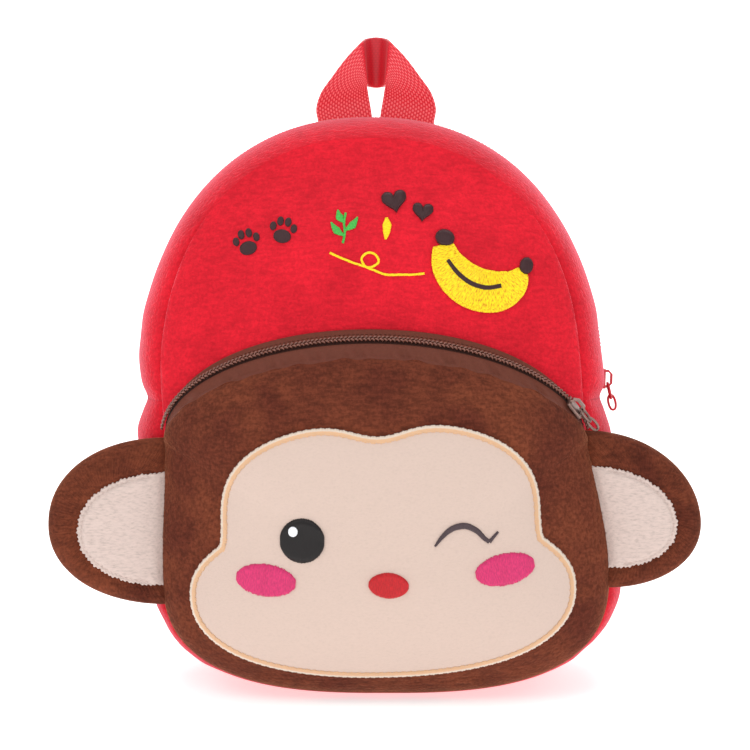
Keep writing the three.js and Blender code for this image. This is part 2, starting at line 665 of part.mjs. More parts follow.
// The banana: a sagging band, full in its belly and narrow at its two ends.
const bananaShares = steps(14);
const bananaLine = bananaShares.map((share) => new THREE.Vector2(
  banana.halfWidth * (2 * share - 1), banana.sag * ((2 * share - 1) ** 2 - 0.4),
).rotateAround(new THREE.Vector2(), radians(banana.tilt)).add(new THREE.Vector2(banana.across, banana.height)));
const bananaHalf = bananaShares.map((share) => (banana.belly / 2) * (0.22 + 0.78 * Math.sin(Math.PI * share) ** 0.8));
addPiece("banana", stitchedLine(bananaLine, bananaHalf, redFront), colours.banana, 0.6);

// Ears
// Half an oval beside the side seam, closed along its root, which follows the seam.
const earPower = 2.15;
const seamHalfAt = (z) => lookUp(rightSeam.map((p) => ({ z: p.y, x: p.x })), "z", "x", z);
const rootX = (sign, z) => sign * (seamHalfAt(z) + gap) + lean(z);
function earOutline(sign, height, half, reach, inset) {
  const rim = steps(20, -Math.PI / 2, Math.PI / 2).map((turn) => {
    const z = height + half * bowed(Math.sin(turn), earPower);
    return new THREE.Vector2(rootX(sign, z) + sign * (inset + (reach - inset) * bowed(Math.cos(turn), earPower)), z);
  });
  const root = steps(6, height + half, height - half).slice(1, -1)
    .map((z) => new THREE.Vector2(rootX(sign, z) + sign * inset, z));
  return [...rim, ...root];
}
const earShares = [0, 0.45, 0.8, 1];
for (const row of ears) {
  const height = earHeight + row.lift;
  const reachOut = earReach * row.far;
  const middle = new THREE.Vector2(rootX(row.sign, height) + row.sign * reachOut * 0.42, height);
  const outline = earOutline(row.sign, height, earHalfHeight * row.tall, reachOut, 0);
  const reach = reachOf(outline, middle);
  const half = (x, z) => mix(earEdge / 2, earThickness / 2,
    swell(Math.hypot(x - middle.x, z - middle.y) / reach(x, z)));
  const earPlane = (z) => seamFront(z) - gap - plushWall - earEdge / 2;
  const front = (x, z) => earPlane(z) - half(x, z);
  const back = (x, z) => earPlane(z) + Math.min(half(x, z), earEdge / 2 + plushWall);
  addPiece(`ear_${row.side}`, pad(
    ringsOf(outline, middle, earShares, front), ringsOf(outline, middle, earShares, back)), colours.brownPlush);
  const patchHeight = height - patchDrop;
  const patchOut = patchReach * row.patchFar;
  const patchMiddle = new THREE.Vector2(
    rootX(row.sign, patchHeight) + row.sign * patchOut * 0.45, patchHeight);
  const patchOutline = earOutline(row.sign, patchHeight, patchHalfHeight * row.patchTall, patchOut, patchInset);
  addPiece(`ear_patch_${row.side}`, patch(
    patchOutline, patchMiddle, front, faceWall, [0, 0.35, 0.7, 1]), colours.earPatch);
}

// Carrying loop, sewn flat below the top back seam
function carryingLoop() {
  const foot = loopTable[0];
  const lapEnds = [topSeam - loopLap, topSeam];
  const rowPoint = (across, z, back) => new THREE.Vector3(across * webWidth + loopAcross, back, z);
  const plane = redBack(loopAcross, topSeam - loopLap) + gap;
  const left = [
    ...lapEnds.map((z) => [rowPoint(-foot.outer, z, plane), rowPoint(-foot.inner, z, plane)]),
    ...loopTable.map((row) => [
      rowPoint(-row.outer, bagHeight + row.outerRise * loopRise, plane + row.back * webWidth),
      rowPoint(-row.inner, bagHeight + row.innerRise * loopRise, plane + row.back * webWidth),
    ]),
  ];
  const mirrored = left.slice(0, -1).reverse().map((row) => row.map((p) => new THREE.Vector3(
    2 * loopAcross - p.x, p.y, p.z)));
  const rows = [...left, ...mirrored];
  const facing = rows.map((row, i) => {
    const along = rows[Math.min(rows.length - 1, i + 1)][0].clone().add(rows[Math.min(rows.length - 1, i + 1)][1])
      .sub(rows[Math.max(0, i - 1)][0]).sub(rows[Math.max(0, i - 1)][1]);
    return new THREE.Vector3().crossVectors(along, row[1].clone().sub(row[0])).normalize();
  });
  const shifted = (by) => rows.map((row, i) => row.map((p) => p.clone().addScaledVector(facing[i], by)));
  return wall(shifted(0), shifted(webWall));
}
addPiece("carrying_loop", carryingLoop(), colours.redWeb, 0.75);

// Shoulder straps
// Each lies in a slanting plane: run goes down from its sewn top, off is the distance behind the back. It is
// in two lengths, each turned round a bar of the buckle and sewn or tucked back.
function shoulderStrap(side, sign) {
  const top = new THREE.Vector2(sign * strapTopAcross, strapTopHeight);
  const foot = new THREE.Vector2(sign * strapFootAcross, strapFootHeight);
  const length = top.distanceTo(foot);
  const down = foot.clone().sub(top).normalize();
  const placeAt = (run, off, across) => {
    const x = top.x + down.x * run - down.y * sign * across;
    const z = top.y + down.y * run + down.x * sign * across;
    return new THREE.Vector3(x, off, z);
  };
  const backAt = (run) => {
    const edges = [-1, 0, 1].map((side) => placeAt(run, 0, (side * webWidth) / 2));
    return Math.max(...edges.map((p) => redBack(p.x, p.z))) + gap + webWall / 2;
  };
  const curve = new THREE.CatmullRomCurve3(strapTable.map((row) => new THREE.Vector3(
    row.run * length, backAt(row.run * length) + row.off * strapBow, 0)), false, "centripetal");
  const line = curve.getSpacedPoints(40).map((p) => new THREE.Vector2(p.x, p.y));
  const split = line.findIndex((p) => p.x > buckleShare * length);
  const middle = line[split];
  const along = line[split + 1].clone().sub(line[split - 1]).normalize();
  const facing = new THREE.Vector2(-along.y, along.x);
  const local = (a, b) => middle.clone().addScaledVector(along, a).addScaledVector(facing, b);

  // Buckle: a plain frame with three bars along the webbing's width and two windows.
  const buckleLength = 3 * buckleBar + 2 * buckleWindow;
  const halfSpan = webWidth / 2 + buckleSide + buckleBar;
  const frame = new THREE.Shape([
    [-halfSpan, -buckleLength / 2], [halfSpan, -buckleLength / 2],
    [halfSpan, buckleLength / 2], [-halfSpan, buckleLength / 2],
  ].map(([a, b]) => new THREE.Vector2(a, b)));
  for (const centre of [-1, 1].map((k) => (k * (buckleBar + buckleWindow)) / 2)) {
    const halfWindow = webWidth / 2 + buckleSide;
    frame.holes.push(new THREE.Path([
      [-halfWindow, centre - buckleWindow / 2], [-halfWindow, centre + buckleWindow / 2],
      [halfWindow, centre + buckleWindow / 2], [halfWindow, centre - buckleWindow / 2],
    ].map(([a, b]) => new THREE.Vector2(a, b))));
  }
  const plate = new THREE.ExtrudeGeometry(frame, { depth: buckleWall, bevelEnabled: false, steps: 1 });
  plate.translate(0, 0, -buckleWall / 2);
  const corner = placeAt(0, 0, 0);
  const across = placeAt(0, 0, 1).sub(corner);
  const downward = placeAt(along.x, along.y, 0).sub(placeAt(0, 0, 0));
  const outward = placeAt(facing.x, facing.y, 0).sub(placeAt(0, 0, 0));
  const seat = placeAt(middle.x, middle.y, 0);
  const matrix = new THREE.Matrix4().makeBasis(across, downward, outward).setPosition(seat);
  if (matrix.determinant() < 0) matrix.makeBasis(across.negate(), downward, outward).setPosition(seat);
  addPiece(`strap_buckle_${side}`, plate.applyMatrix4(matrix), colours.redPlastic, 0.45);

  // A length of webbing that ends in a turn round one bar: straight in on one face, round, and straight back.
  const barRadius = Math.hypot(buckleBar, buckleWall) / 2 + gap + webWall / 2;
  const turnRound = (barAt, heading) => steps(8, -Math.PI / 2, Math.PI / 2).map((turn) => local(
    barAt + heading * barRadius * Math.cos(turn), -barRadius * Math.sin(turn)));
  const barPitch = buckleBar + buckleWindow;
  const upper = [
    ...line.filter((p) => p.clone().sub(middle).dot(along) < -barPitch - 8),
    ...turnRound(-barPitch, 1),
    local(-barPitch - 9, -barRadius),
  ];
  const below = line.filter((p) => p.clone().sub(middle).dot(along) > buckleLength / 2 + 11);
  const tail = below.filter((p) => p.distanceTo(middle) < strapTail)
    .map((p) => p.clone().addScaledVector(facing, -webWall - 2 * gap));
  const lower = [
    ...below.slice().reverse(),
    local(buckleLength / 2 + 1, barRadius),
    ...turnRound(0, -1),
    local(buckleLength / 2 + 1, -barRadius),
    ...tail,
  ];
  const webbing = (path) => {
    const grid = (by) => path.map((p, i) => {
      const tangent = path[Math.min(path.length - 1, i + 1)].clone().sub(path[Math.max(0, i - 1)]).normalize();
      const q = p.clone().addScaledVector(new THREE.Vector2(-tangent.y, tangent.x), by);
      return [-webWidth / 2, webWidth / 2].map((w) => placeAt(q.x, q.y, w));
    });
    return wall(grid(webWall / 2), grid(-webWall / 2));
  };
  addPiece(`strap_upper_${side}`, webbing(upper), colours.redWeb, 0.75);
  addPiece(`strap_lower_${side}`, webbing(lower), colours.redWeb, 0.75);
}
shoulderStrap("left", -1);
shoulderStrap("right", 1);

// Zip sliders and pulls
// The slider stands on the coil: a plate with an arched crown along the zip. The ring hangs in the crown and
// the link hangs in the ring. hangFrom gives the direction they hang in, from the hinge.
function sliderAndPull(name, seat, alongZip, outward, hangFrom, colour, metalness) {
  const across = new THREE.Vector3().crossVectors(outward, alongZip).normalize();
  const basis = new THREE.Matrix4().makeBasis(alongZip, across, outward).setPosition(seat);
  const plate = new THREE.BoxGeometry(sliderLength, sliderWidth, sliderWall).translate(0, 0, sliderWall / 2);
  const [half, top] = [crownLength / 2, sliderWall + crownLift];
  const arch = (inset, low) => [
    [-half + inset, low], [half - inset, low], [half - inset, top * 0.62],
    [half * 0.5, top - inset], [-half * 0.5, top - inset], [-half + inset, top * 0.62],
  ].map(([a, b]) => new THREE.Vector2(a, b));
  const crown = new THREE.Shape(arch(0, sliderWall / 2));
  crown.holes.push(new THREE.Path(arch(crownBar, sliderWall).reverse()));
  const arched = new THREE.ExtrudeGeometry(crown, { depth: crownWidth, bevelEnabled: false, steps: 1 })
    .rotateX(Math.PI / 2).translate(0, crownWidth / 2, 0);
  const body = asGeometry(asManifold(plate).add(asManifold(arched)));
  addPiece(`${name}_slider`, body.applyMatrix4(basis), colour, 0.4, metalness);

  const hinge = new THREE.Vector3(half - crownBar - ringPlay - wire / 2, 0, sliderWall + ringPlay + wire / 2)
    .applyMatrix4(basis);
  const hang = hangFrom(hinge);
  hang.addScaledVector(across, -hang.dot(across)).normalize();
  const oval = (length, width, start, down, side) => steps(18, 0, 2 * Math.PI).slice(0, -1).map((turn) => {
    const along = (length - wire) / 2;
    return start.clone().addScaledVector(down, along - along * Math.cos(turn))
      .addScaledVector(side, ((width - wire) / 2) * bowed(Math.sin(turn), 2.6));
  });
  const ring = oval(ringLength, ringWidth, hinge, hang, across);
  const square = new THREE.Vector3().crossVectors(hang, across).normalize();
  addPiece(`${name}_pull_ring`, wireRing(ring, square, wire), colour, 0.35, metalness);
  const linkTop = hinge.clone().addScaledVector(hang, ringLength - 2 * wire - gap);
  const link = oval(linkLength, linkWidth, linkTop, hang, square);
  addPiece(`${name}_pull_link`, wireRing(link, across, wire), colour, 0.35, metalness);
}

// Pocket slider near the right corner of the pocket, its ring hanging clear of the plush
const sliderAt = bandHalf - sliderInset;
const coilMiddle = coilBand[1];
const sliderSeat = bandPoint(sliderAt, coilMiddle, bandLift + coilHeight + gap);
const sliderAlong = bandPoint(sliderAt + 2, coilMiddle, 0).sub(bandPoint(sliderAt - 2, coilMiddle, 0)).normalize();
const bandAcross = bandPoint(sliderAt, 0, 0).sub(bandPoint(sliderAt, 1, 0)).normalize();
const sliderOut = new THREE.Vector3().crossVectors(sliderAlong, bandAcross).normalize();
if (sliderOut.y > 0) sliderOut.negate();
sliderAndPull("pocket", sliderSeat, sliderAlong, sliderOut, () => sliderAlong.clone(), colours.pewter, 0.8);

// Main slider at the right end of the main zip, its pull hanging clear of the gusset below
const mainRun = zipEnd + mainSliderInset / halfSeamLength;
const mainSeat = gussetPoint(mainRun, 0.5, -gap);
const mainAlong = gussetPoint(mainRun - 0.01, 0.5, 0).sub(gussetPoint(mainRun + 0.01, 0.5, 0)).normalize();
const mainOut = new THREE.Vector3(-mainAlong.z, 0, mainAlong.x);
if (mainOut.x < 0) mainOut.negate();
const pullReach = ringLength + linkLength;
const pullFoot = gussetPoint(mainRun - pullReach / halfSeamLength, 0.5, -linkWidth / 2 - 4 * gap);
sliderAndPull("main", mainSeat, mainAlong, mainOut, (hinge) => pullFoot.clone().sub(hinge), colours.redMetal, 0.3);

export default bag;
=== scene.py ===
"""Looks of the plush animal backpack: cloth shells, zips, embroidery, ears, webbing and a plain studio.

It is laid out as a Blender add-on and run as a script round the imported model. Lengths in the form's own
functions are millimetres, +Z is up and the front faces -Y. Every finished mesh is in metres.
"""

import bpy
import numpy as np
from bpy.props import FloatProperty, FloatVectorProperty, PointerProperty
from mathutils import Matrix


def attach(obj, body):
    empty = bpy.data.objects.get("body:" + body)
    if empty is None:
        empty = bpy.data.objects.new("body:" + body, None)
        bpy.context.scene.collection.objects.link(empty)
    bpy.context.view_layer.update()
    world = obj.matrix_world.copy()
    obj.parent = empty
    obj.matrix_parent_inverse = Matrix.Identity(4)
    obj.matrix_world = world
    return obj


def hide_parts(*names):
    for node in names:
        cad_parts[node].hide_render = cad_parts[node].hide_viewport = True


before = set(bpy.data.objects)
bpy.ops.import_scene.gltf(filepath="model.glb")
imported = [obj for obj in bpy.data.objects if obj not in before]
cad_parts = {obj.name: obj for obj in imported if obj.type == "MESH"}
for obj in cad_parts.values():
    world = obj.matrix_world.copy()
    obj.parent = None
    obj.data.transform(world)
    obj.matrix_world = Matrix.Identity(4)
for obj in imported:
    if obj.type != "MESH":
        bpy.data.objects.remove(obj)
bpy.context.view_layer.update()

bl_info = {
    "name": "Plush backpack",
    "version": (1, 0, 0),
    "blender": (4, 5, 0),
    "location": "View3D > Sidebar > Backpack",
    "description": "Builds the cloth, zips, embroidery and webbing of a plush animal backpack",
    "category": "Object",
}

MM = 0.001

# Bag: height, the seam line's half widths, ends and corners, and the powers of its superellipses
BAG_HEIGHT = 246.0
LOW_HALF = 94.0
HIGH_HALF = 88.8
BASE_SEAM = 3.0
TOP_SEAM = 236.0
CORNER = 52.0
CROWN = 106.0
CORNER_POWER = 2.75
CROWN_POWER = 2.25
# Bag: depth of its seams and their slopes, and its sideways lean with the heights between which it changes
SEAM_DEPTH = 44.0
FRONT_SLOPE = 17.0
BACK_SLOPE = 8.0
MIDDLE_DEPTH = 75.5
LEAN_LOW = 4.6
LEAN_HIGH = -2.0
LEAN_FROM = BAG_HEIGHT * 0.2
LEAN_TO = BAG_HEIGHT * 0.61
# Bag: cloth, clearance and domes; over the crown the front's rim lies lower and its dome is rounder
PLUSH_WALL = 2.5
GAP = 0.3
RIM_LIFT = GAP + PLUSH_WALL
FRONT_CROWN = 16.0
BACK_CROWN = 8.0
DOME_STEEP = 0.7
CROWN_FROM = 178
CROWN_OVER = 46
CROWN_LIFT = 1.2
GUSSET_FULLNESS = 13.0
BAG_MIDDLE = np.array([0.0, BAG_HEIGHT * 0.45])
# Pocket: its wall, corners, arch, step ahead of the bag and dome
POCKET_WALL = 2.0
POCKET_CORNER = 108.0
POCKET_RISE = 36.8
ARCH_POWER = 1.85
POCKET_STEP = 12.0
POCKET_CENTRE = np.array([0.0, 62.0])
POCKET_CROWN = 38.0
# Zips: the pocket zip's arch and ends, where the main zip ends, coil, tape and the band's lift
ZIP_RISE = 48.0
ZIP_POWER = 2.1
ZIP_INSET = 0.6
ZIP_END_INSET = 1.0
ZIP_END_HEIGHT = 125.0
COIL_WIDTH = 4.4
COIL_HEIGHT = 2.2
COIL_CLEAR = 0.3
TAPE_WIDTH = 5.6
BAND_LIFT = 0.6
# Face: lift of its cloth, how far its border is sewn down, and the muzzle's middle
FACE_LIFT = 1.85
SEWN_DOWN = 0.75
FACE_SHIFT = 3.2
MUZZLE_HEIGHT = 48.0
# Ears: half thickness in front and behind, ribs, the patch's lift and stitch line, and the simulated grid
EAR_HALF_FRONT = 6.2
EAR_HALF_BACK = 4.0
EAR_RIB = 1.7
PATCH_LIFT = 1.1
PATCH_INSET = 1.6
EAR_RINGS = 14
EAR_AROUND = 62
EAR_SPACING = 1.9
# Webbing: size, the loop's rise and sideways shift, a strap's bow, and the lift of stitches
WEB_WIDTH = 25.0
WEB_WALL = 1.6
LOOP_RISE = 39.5
LOOP_SHIFT = 0.5
STRAP_BOW = 46.0
STITCH_LIFT = 0.35
# Yarns, fibres and the nap's patches, in metres for the materials
YARN_ACROSS = 0.0006
YARN_ALONG = 0.0007
VELOUR_FIBRE = 0.0007
NAP_PATCH = 0.026
# Directions, the angle above which an edge stays sharp, and how far from a seam the cloth puckers
UP = np.array([0.0, 0.0, 1.0])
BEHIND = np.array([0.0, 1.0, 0.0])
SHARP = np.radians(40)
PUCKER_REACH = 5
# Studio: radius of the floor's sweep, and the sky's strength
SWEEP = 900.0
SKY_STRENGTH = 0.535
# Lamps: name, place, size, power and tint
LAMPS = (
    ("key", (-0.9, -1.5, 1.6), 1.2, 13, (1.0, 0.985, 0.97)),
    ("fill", (1.3, -1.4, 0.9), 1.5, 4, (0.97, 0.985, 1.0)),
    ("top", (0.0, 0.1, 1.9), 1.6, 9, (1.0, 1.0, 1.0)),
    ("front", (0.0, -2.2, 0.5), 1.6, 3, (1.0, 1.0, 1.0)),
    ("back", (0.0, 0.75, 1.5), 1.4, 6, (1.0, 1.0, 1.0)),
)

# Share of the bag's height, and how far the gusset swells there as a share of its fullness
GUSSET_TABLE = np.array([
    (0, 0.4), (0.13, 0.6), (0.25, 0.77), (0.37, 1), (0.45, 1.15), (0.508, 0.9), (0.57, 1.02), (0.77, 0.85),
    (1, 0.77),
])
# One half of the carrying loop: outer edge and its rise, inner edge and its rise, set back
LOOP_TABLE = np.array([
    (1.06, 0, 0.075, 0.07, 0), (1.09, 0.19, 0.13, 0.29, 0), (1.01, 0.34, 0.15, 0.37, -0.04),
    (0.8, 0.53, 0.16, 0.4, -0.07), (0.52, 0.76, 0.165, 0.42, -0.08), (0.26, 0.93, 0.17, 0.425, -0.04),
    (0.2, 0.97, 0.17, 0.425, 0.13), (0.12, 0.99, 0.1, 0.42, 0.26), (0, 1, 0, 0.415, 0.3),
])
# Share of a shoulder strap's run, and how far it stands off there as a share of its bow
STRAP_TABLE = np.array([
    (0, 0), (0.06, 0), (0.12, 0.12), (0.2, 0.45), (0.32, 0.84), (0.45, 1), (0.58, 0.94), (0.7, 0.76),
    (0.8, 0.54), (0.88, 0.3), (0.94, 0.06), (1, 0),
])
# Ears: side, middle height, half height, reach, the patch's height, half height and reach
EARS = {
    "left": (-1, 75, 35, 48, 72, 23.5, 35),
    "right": (1, 80, 33, 41, 77, 21.2, 30),
}
# Soft dents of the filled bag: across, height, half width, half height, depth
FRONT_DENTS = (
    (-62, 170, 10, 30, 1.3), (-30, 158, 34, 8, 0.9), (36, 160, 30, 9, 0.8), (66, 172, 9, 26, 1.2),
    (4, 226, 40, 6, 0.8), (-20, 196, 30, 14, -0.7), (52, 206, 18, 14, 0.8), (-58, 205, 16, 12, 0.9),
)
POCKET_DENTS = (
    (-70, 92, 9, 15, 1.2), (72, 88, 9, 16, 1.3), (-80, 42, 7, 22, 1.4), (80, 40, 7, 20, 1.3),
    (-44, 12, 24, 5, 1.1), (38, 12, 22, 5, 1.2), (0, 134, 36, 5, 0.9), (-52, 122, 12, 8, -0.8),
    (48, 124, 14, 8, -0.7),
)
# Waves in cloth, each by length, height and phase: at a seam, on the pocket's arch, in the sides, in the tape
PUCKER = ((9.3, 0.45, 0.4), (14.1, 0.4, 2.1), (23.7, 0.5, 4.4))
ARCH_WAVES = ((16.0, 0.5, 0.3), (9.7, 0.45, 1.9), (26.0, 0.5, 4.0))
SIDE_FOLDS = ((31.0, 0.55, 1.2), (47.0, 0.7, 3.3), (17.0, 0.25, 0.3))
TAPE_WAVES = ((9.3, 0.85, 0.7), (6.1, 0.75, 2.0), (17.0, 0.5, 4.0))
# Ovals of the face: name, middle, half sizes, tilt, crown, looseness, seed, more, thread, slot, nodes
FEATURES = (
    ("open_eye", (-29.5, 71.7), 9.2, 9.1, 0, 0.9, 0.12, 3, {}, "black", "black_thread", ["eye"]),
    ("eye_glint", (-33.2, 75.4), 1.95, 2.1, 0, 0.35, 0.02, 4, {"lift": 1.0}, "white", "face_velour", []),
    ("nose_stitch", (5.5, 53.7), 8.3, 5.3, -4, 0.9, 0.07, 5, {"power": 1.9}, "red_thread", "red_thread",
     ["nose"]),
    ("left_cheek", (-44.4, 55.1), 12.5, 6.6, -5, 0.7, 0.24, 6, {}, "pink", "pink_thread", ["cheek_left"]),
    ("right_cheek", (52.9, 59.6), 12.5, 6.5, 10, 0.7, 0.24, 7, {}, "pink", "pink_thread", ["cheek_right"]),
)
# Lines of stitching by their knots, across and height: the closed eye, and the motifs on the red front
EYELID = ((24.2, 69.6), (27.6, 73.9), (31.6, 76.9), (36.6, 77.7), (41.4, 75.5), (44.6, 72.3), (46.4, 71.0))
LASH = ((46.3, 70.9), (48.0, 72.8), (50.0, 75.0))
SMILE = ((30.2, 184.8), (34.4, 179.4), (40.6, 174.8), (46.8, 173.2), (52.7, 174.0))
CURL = (
    (-18.9, 187.7), (-13.3, 185.2), (-7.4, 183.0), (-1.4, 181.8), (1.5, 184.0), (0.0, 187.0), (-3.2, 187.6),
    (-5.6, 185.2), (-4.4, 182.4), (0.0, 180.3), (3.8, 178.8), (10.5, 178.6), (15.5, 178.6), (20.6, 179.1),
)
DROP = ((4.4, 193.2), (4.8, 196.2), (5.0, 199.6), (4.8, 202.4))
STEM = ((-13.4, 191.6), (-12.6, 196), (-12.9, 200.4), (-12.2, 204.4))
LEAVES = (
    ((-12.6, 194.6), (-16.0, 197.0), (-18.4, 200.4)), ((-12.7, 196.8), (-9.4, 199.2), (-7.2, 202.6)),
    ((-12.8, 200.0), (-14.8, 202.6), (-15.6, 205.6)),
)
# Middle line of the banana and its half width there: across, height, half width
BANANA = np.array([
    (28.2, 191.2, 4.3), (30.6, 182.8, 7.0), (36.4, 175.9, 8.4), (43.8, 172.2, 8.7), (51.6, 171.8, 8.2),
    (58.0, 174.9, 6.2), (62.0, 180.0, 2.6),
])
# Pad and toes of a paw print, as shares of its size: middle, half width, half height
PAW_SPOTS = (
    ((0, -0.18), 0.34, 0.26), ((-0.4, 0.16), 0.13, 0.17), ((-0.15, 0.38), 0.13, 0.18),
    ((0.15, 0.38), 0.13, 0.18), ((0.4, 0.16), 0.13, 0.17),
)


# Sizes and colours that a user may change
def linear(code):
    """An sRGB hex colour in linear light: c / 12.92 when low, else ((c + 0.055) / 1.055) ** 2.4; alpha 1."""
    channels = [int(code[at:at + 2], 16) / 255 for at in (1, 3, 5)]
    return tuple(c / 12.92 if c <= 0.04045 else ((c + 0.055) / 1.055) ** 2.4 for c in channels) + (1.0,)


def colour(name, description, code):
    """A colour property with its default from an sRGB hex value."""
    return FloatVectorProperty(
        name=name, description=description, subtype="COLOR", size=4, min=0, max=1, default=linear(code))


def length(name, description, millimetres):
    """A length property in metres with its default given in millimetres."""
    return FloatProperty(
        name=name, description=description, unit="LENGTH", precision=5, min=0, default=millimetres * MM)


class BackpackColours(bpy.types.PropertyGroup):
    """Colours of the cloths, threads and fittings."""

    red_plush: colour("Red plush", "Pile of the main bag", "#E01F30")
    brown_plush: colour("Brown plush", "Pile of the pocket and ears", "#6D3324")
    brown_lit: colour("Brown plush with the nap", "Brown pile where it lies towards the light", "#7E402A")
    face: colour("Face velour", "Pale cloth of the face", "#CDB7AB")
    ear: colour("Ear velour", "Pale cloth inside the ears", "#CCB9B1")
    border: colour("Border thread", "Outer half of the face's satin border", "#E0CFBE")
    border_shade: colour("Border shade thread", "Inner half of the face's satin border", "#DBB08A")
    brown_tape: colour("Brown tape", "Woven tape of the pocket's zip", "#693628")
    brown_coil: colour("Brown coil", "Nylon coil of the pocket's zip", "#7B4B3D")
    red_tape: colour("Red tape", "Woven tape of the main zip", "#C8172C")
    red_coil: colour("Red coil", "Nylon coil of the main zip", "#CC2233")
    webbing: colour("Red webbing", "Loop and shoulder straps", "#EE2135")
    black: colour("Black thread", "The open eye", "#150F0F")
    white: colour("White thread", "Glint of the eye", "#E9EBF1")
    grey: colour("Grey thread", "The closed eye", "#493A3E")
    red_thread: colour("Red thread", "The nose", "#B8121B")
    pink: colour("Pink thread", "The cheeks", "#CB2D68")
    dark: colour("Dark thread", "Hearts, caps and motifs", "#37191D")
    yellow: colour("Yellow thread", "Banana and curl", "#F5D714")
    green: colour("Green thread", "Sprig", "#45B249")
    pewter: colour("Pewter plating", "Pocket slider and pull", "#8A7068")
    red_paint: colour("Red paint", "Main slider and pull", "#D02232")
    red_plastic: colour("Red plastic", "Strap buckles", "#C81A2A")
    floor: colour("Floor", "Plain pale floor and backdrop", "#F7F7F7")


class BackpackSizes(bpy.types.PropertyGroup):
    """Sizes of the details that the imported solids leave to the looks."""

    seam_roll: length("Seam roll", "Radius of the cloth turned in at a seam", 2.6)
    pile: length("Pile tuft", "Width of one tuft of the plush's pile", 0.9)
    coil_pitch: length("Coil pitch", "Distance between two turns of a zip's coil", 1.7)
    coil_wire: length("Coil wire", "Thickness of the coil's nylon", 0.88)
    thread: length("Thread pitch", "Distance between two threads of satin stitch", 0.44)
    border: length("Border width", "Width of the face's satin border", 2.9)
    weave_across: length("Webbing grain across", "Distance between two grains across the webbing", 1.25)
    weave_along: length("Webbing grain along", "Distance between two grains along the webbing", 1.9)
    stitch: length("Stitch length", "Length of a seam stitch", 2.6)


# Plain arithmetic
def mix(a, b, k):
    """The value a share k of the way from a to b."""
    return a + (b - a) * k


def smooth(k):
    """A share eased in and out: k squared times 3 minus 2k."""
    k = np.clip(k, 0, 1)
    return k * k * (3 - 2 * k)


def bowed(value, power):
    """A sine or cosine to the power 2 / power, its sign kept, which bends a circle to a superellipse."""
    return np.sign(value) * np.abs(value) ** (2 / power)


def unit(vectors):
    """Vectors scaled to length one."""
    return vectors / np.maximum(np.linalg.norm(vectors, axis=-1, keepdims=True), 1e-12)


def at_run(values, run, at):
    """Rows of values along a line, read at other distances along it."""
    return np.stack([np.interp(at, run, column) for column in values.T], 1)


def evenly(line, count):
    """A line resampled at even distances along itself."""
    run = run_of(line)
    return at_run(line, run, np.linspace(0, run[-1], count))


def run_of(line):
    """Distance along a line at each of its points."""
    return np.concatenate([[0], np.cumsum(np.linalg.norm(np.diff(line, axis=0), axis=1))])


def run_round(outline):
    """Distance round a closed outline at each of its points."""
    return run_of(np.concatenate([outline, outline[:1]]))[:-1]


def outward(count, power):
    """Shares of the way out to an edge for a number of rings, closer together towards the edge."""
    return (1 - (1 - np.linspace(0, 1, count + 1)[1:]) ** power)[:, None]


def fan(middle, outline, shares):
    """Places between a middle and an outline, with a row for each share of the way out."""
    return [mix(middle[k], outline[None, :, k], shares) for k in (0, 1)]


def away(x, z, middle):
    """Distance of a place from a middle in the plane of the front."""
    return np.hypot(x - middle[0], z - middle[1])


def way_from(x, z, middle):
    """Direction of a place from a middle, as an angle."""
    return np.arctan2(z - middle[1], x - middle[0])


def through(knots, count):
    """A smooth line through knots: cubic pieces whose slopes are those of the chords next to each knot."""
    run = run_of(knots)
    slope = np.gradient(knots, run, axis=0)
    at = np.linspace(0, run[-1], count)
    low = np.clip(np.searchsorted(run, at, side="right") - 1, 0, len(run) - 2)
    span = (run[low + 1] - run[low])[:, None]
    k = (at - run[low])[:, None] / span
    first = (2 * k ** 3 - 3 * k ** 2 + 1) * knots[low] + (k ** 3 - 2 * k ** 2 + k) * span * slope[low]
    return first + (3 * k ** 2 - 2 * k ** 3) * knots[low + 1] + (k ** 3 - k ** 2) * span * slope[low + 1]


def ripple(at, rows):
    """A sum of sine waves along a distance, each row giving its length, height and phase."""
    return sum(high * np.sin(2 * np.pi * at / long + phase) for long, high, phase in rows)


def dents(x, z, rows):
    """Soft hollows, each a Gaussian in x and z with its own half sizes and depth."""
    return sum(
        deep * np.exp(-(((x - cx) / wide) ** 2 + ((z - cz) / tall) ** 2) / 2)
        for cx, cz, wide, tall, deep in rows)


# Form of the bag
def lean(z):
    """Sideways lean of the filled bag at a height."""
    return mix(LEAN_LOW, LEAN_HIGH, smooth((z - LEAN_FROM) / (LEAN_TO - LEAN_FROM)))


def seam_front(z):
    """Depth of the front seam at a height, a straight slope."""
    return -SEAM_DEPTH + FRONT_SLOPE * z / TOP_SEAM


def seam_back(z):
    """Depth of the back seam at a height, a straight slope."""
    return SEAM_DEPTH - BACK_SLOPE * z / TOP_SEAM


def half_seam():
    """Half of the seam line: a superellipse corner, an eased side and a superellipse crown, bottom to top."""
    corner_top = BASE_SEAM + CORNER
    crown_foot = TOP_SEAM - CROWN
    turn = np.linspace(0, np.pi / 2, 240)
    share = np.linspace(0, 1, 60)[1:-1]
    low = np.stack([
        LOW_HALF * bowed(np.sin(turn), CORNER_POWER),
        corner_top - CORNER * bowed(np.cos(turn), CORNER_POWER)], 1)
    side = np.stack([mix(LOW_HALF, HIGH_HALF, smooth(share * 1.2)), mix(corner_top, crown_foot, share)], 1)
    top = np.stack([
        HIGH_HALF * bowed(np.cos(turn), CROWN_POWER),
        crown_foot + CROWN * bowed(np.sin(turn), CROWN_POWER)], 1)
    return np.concatenate([low, side, top])


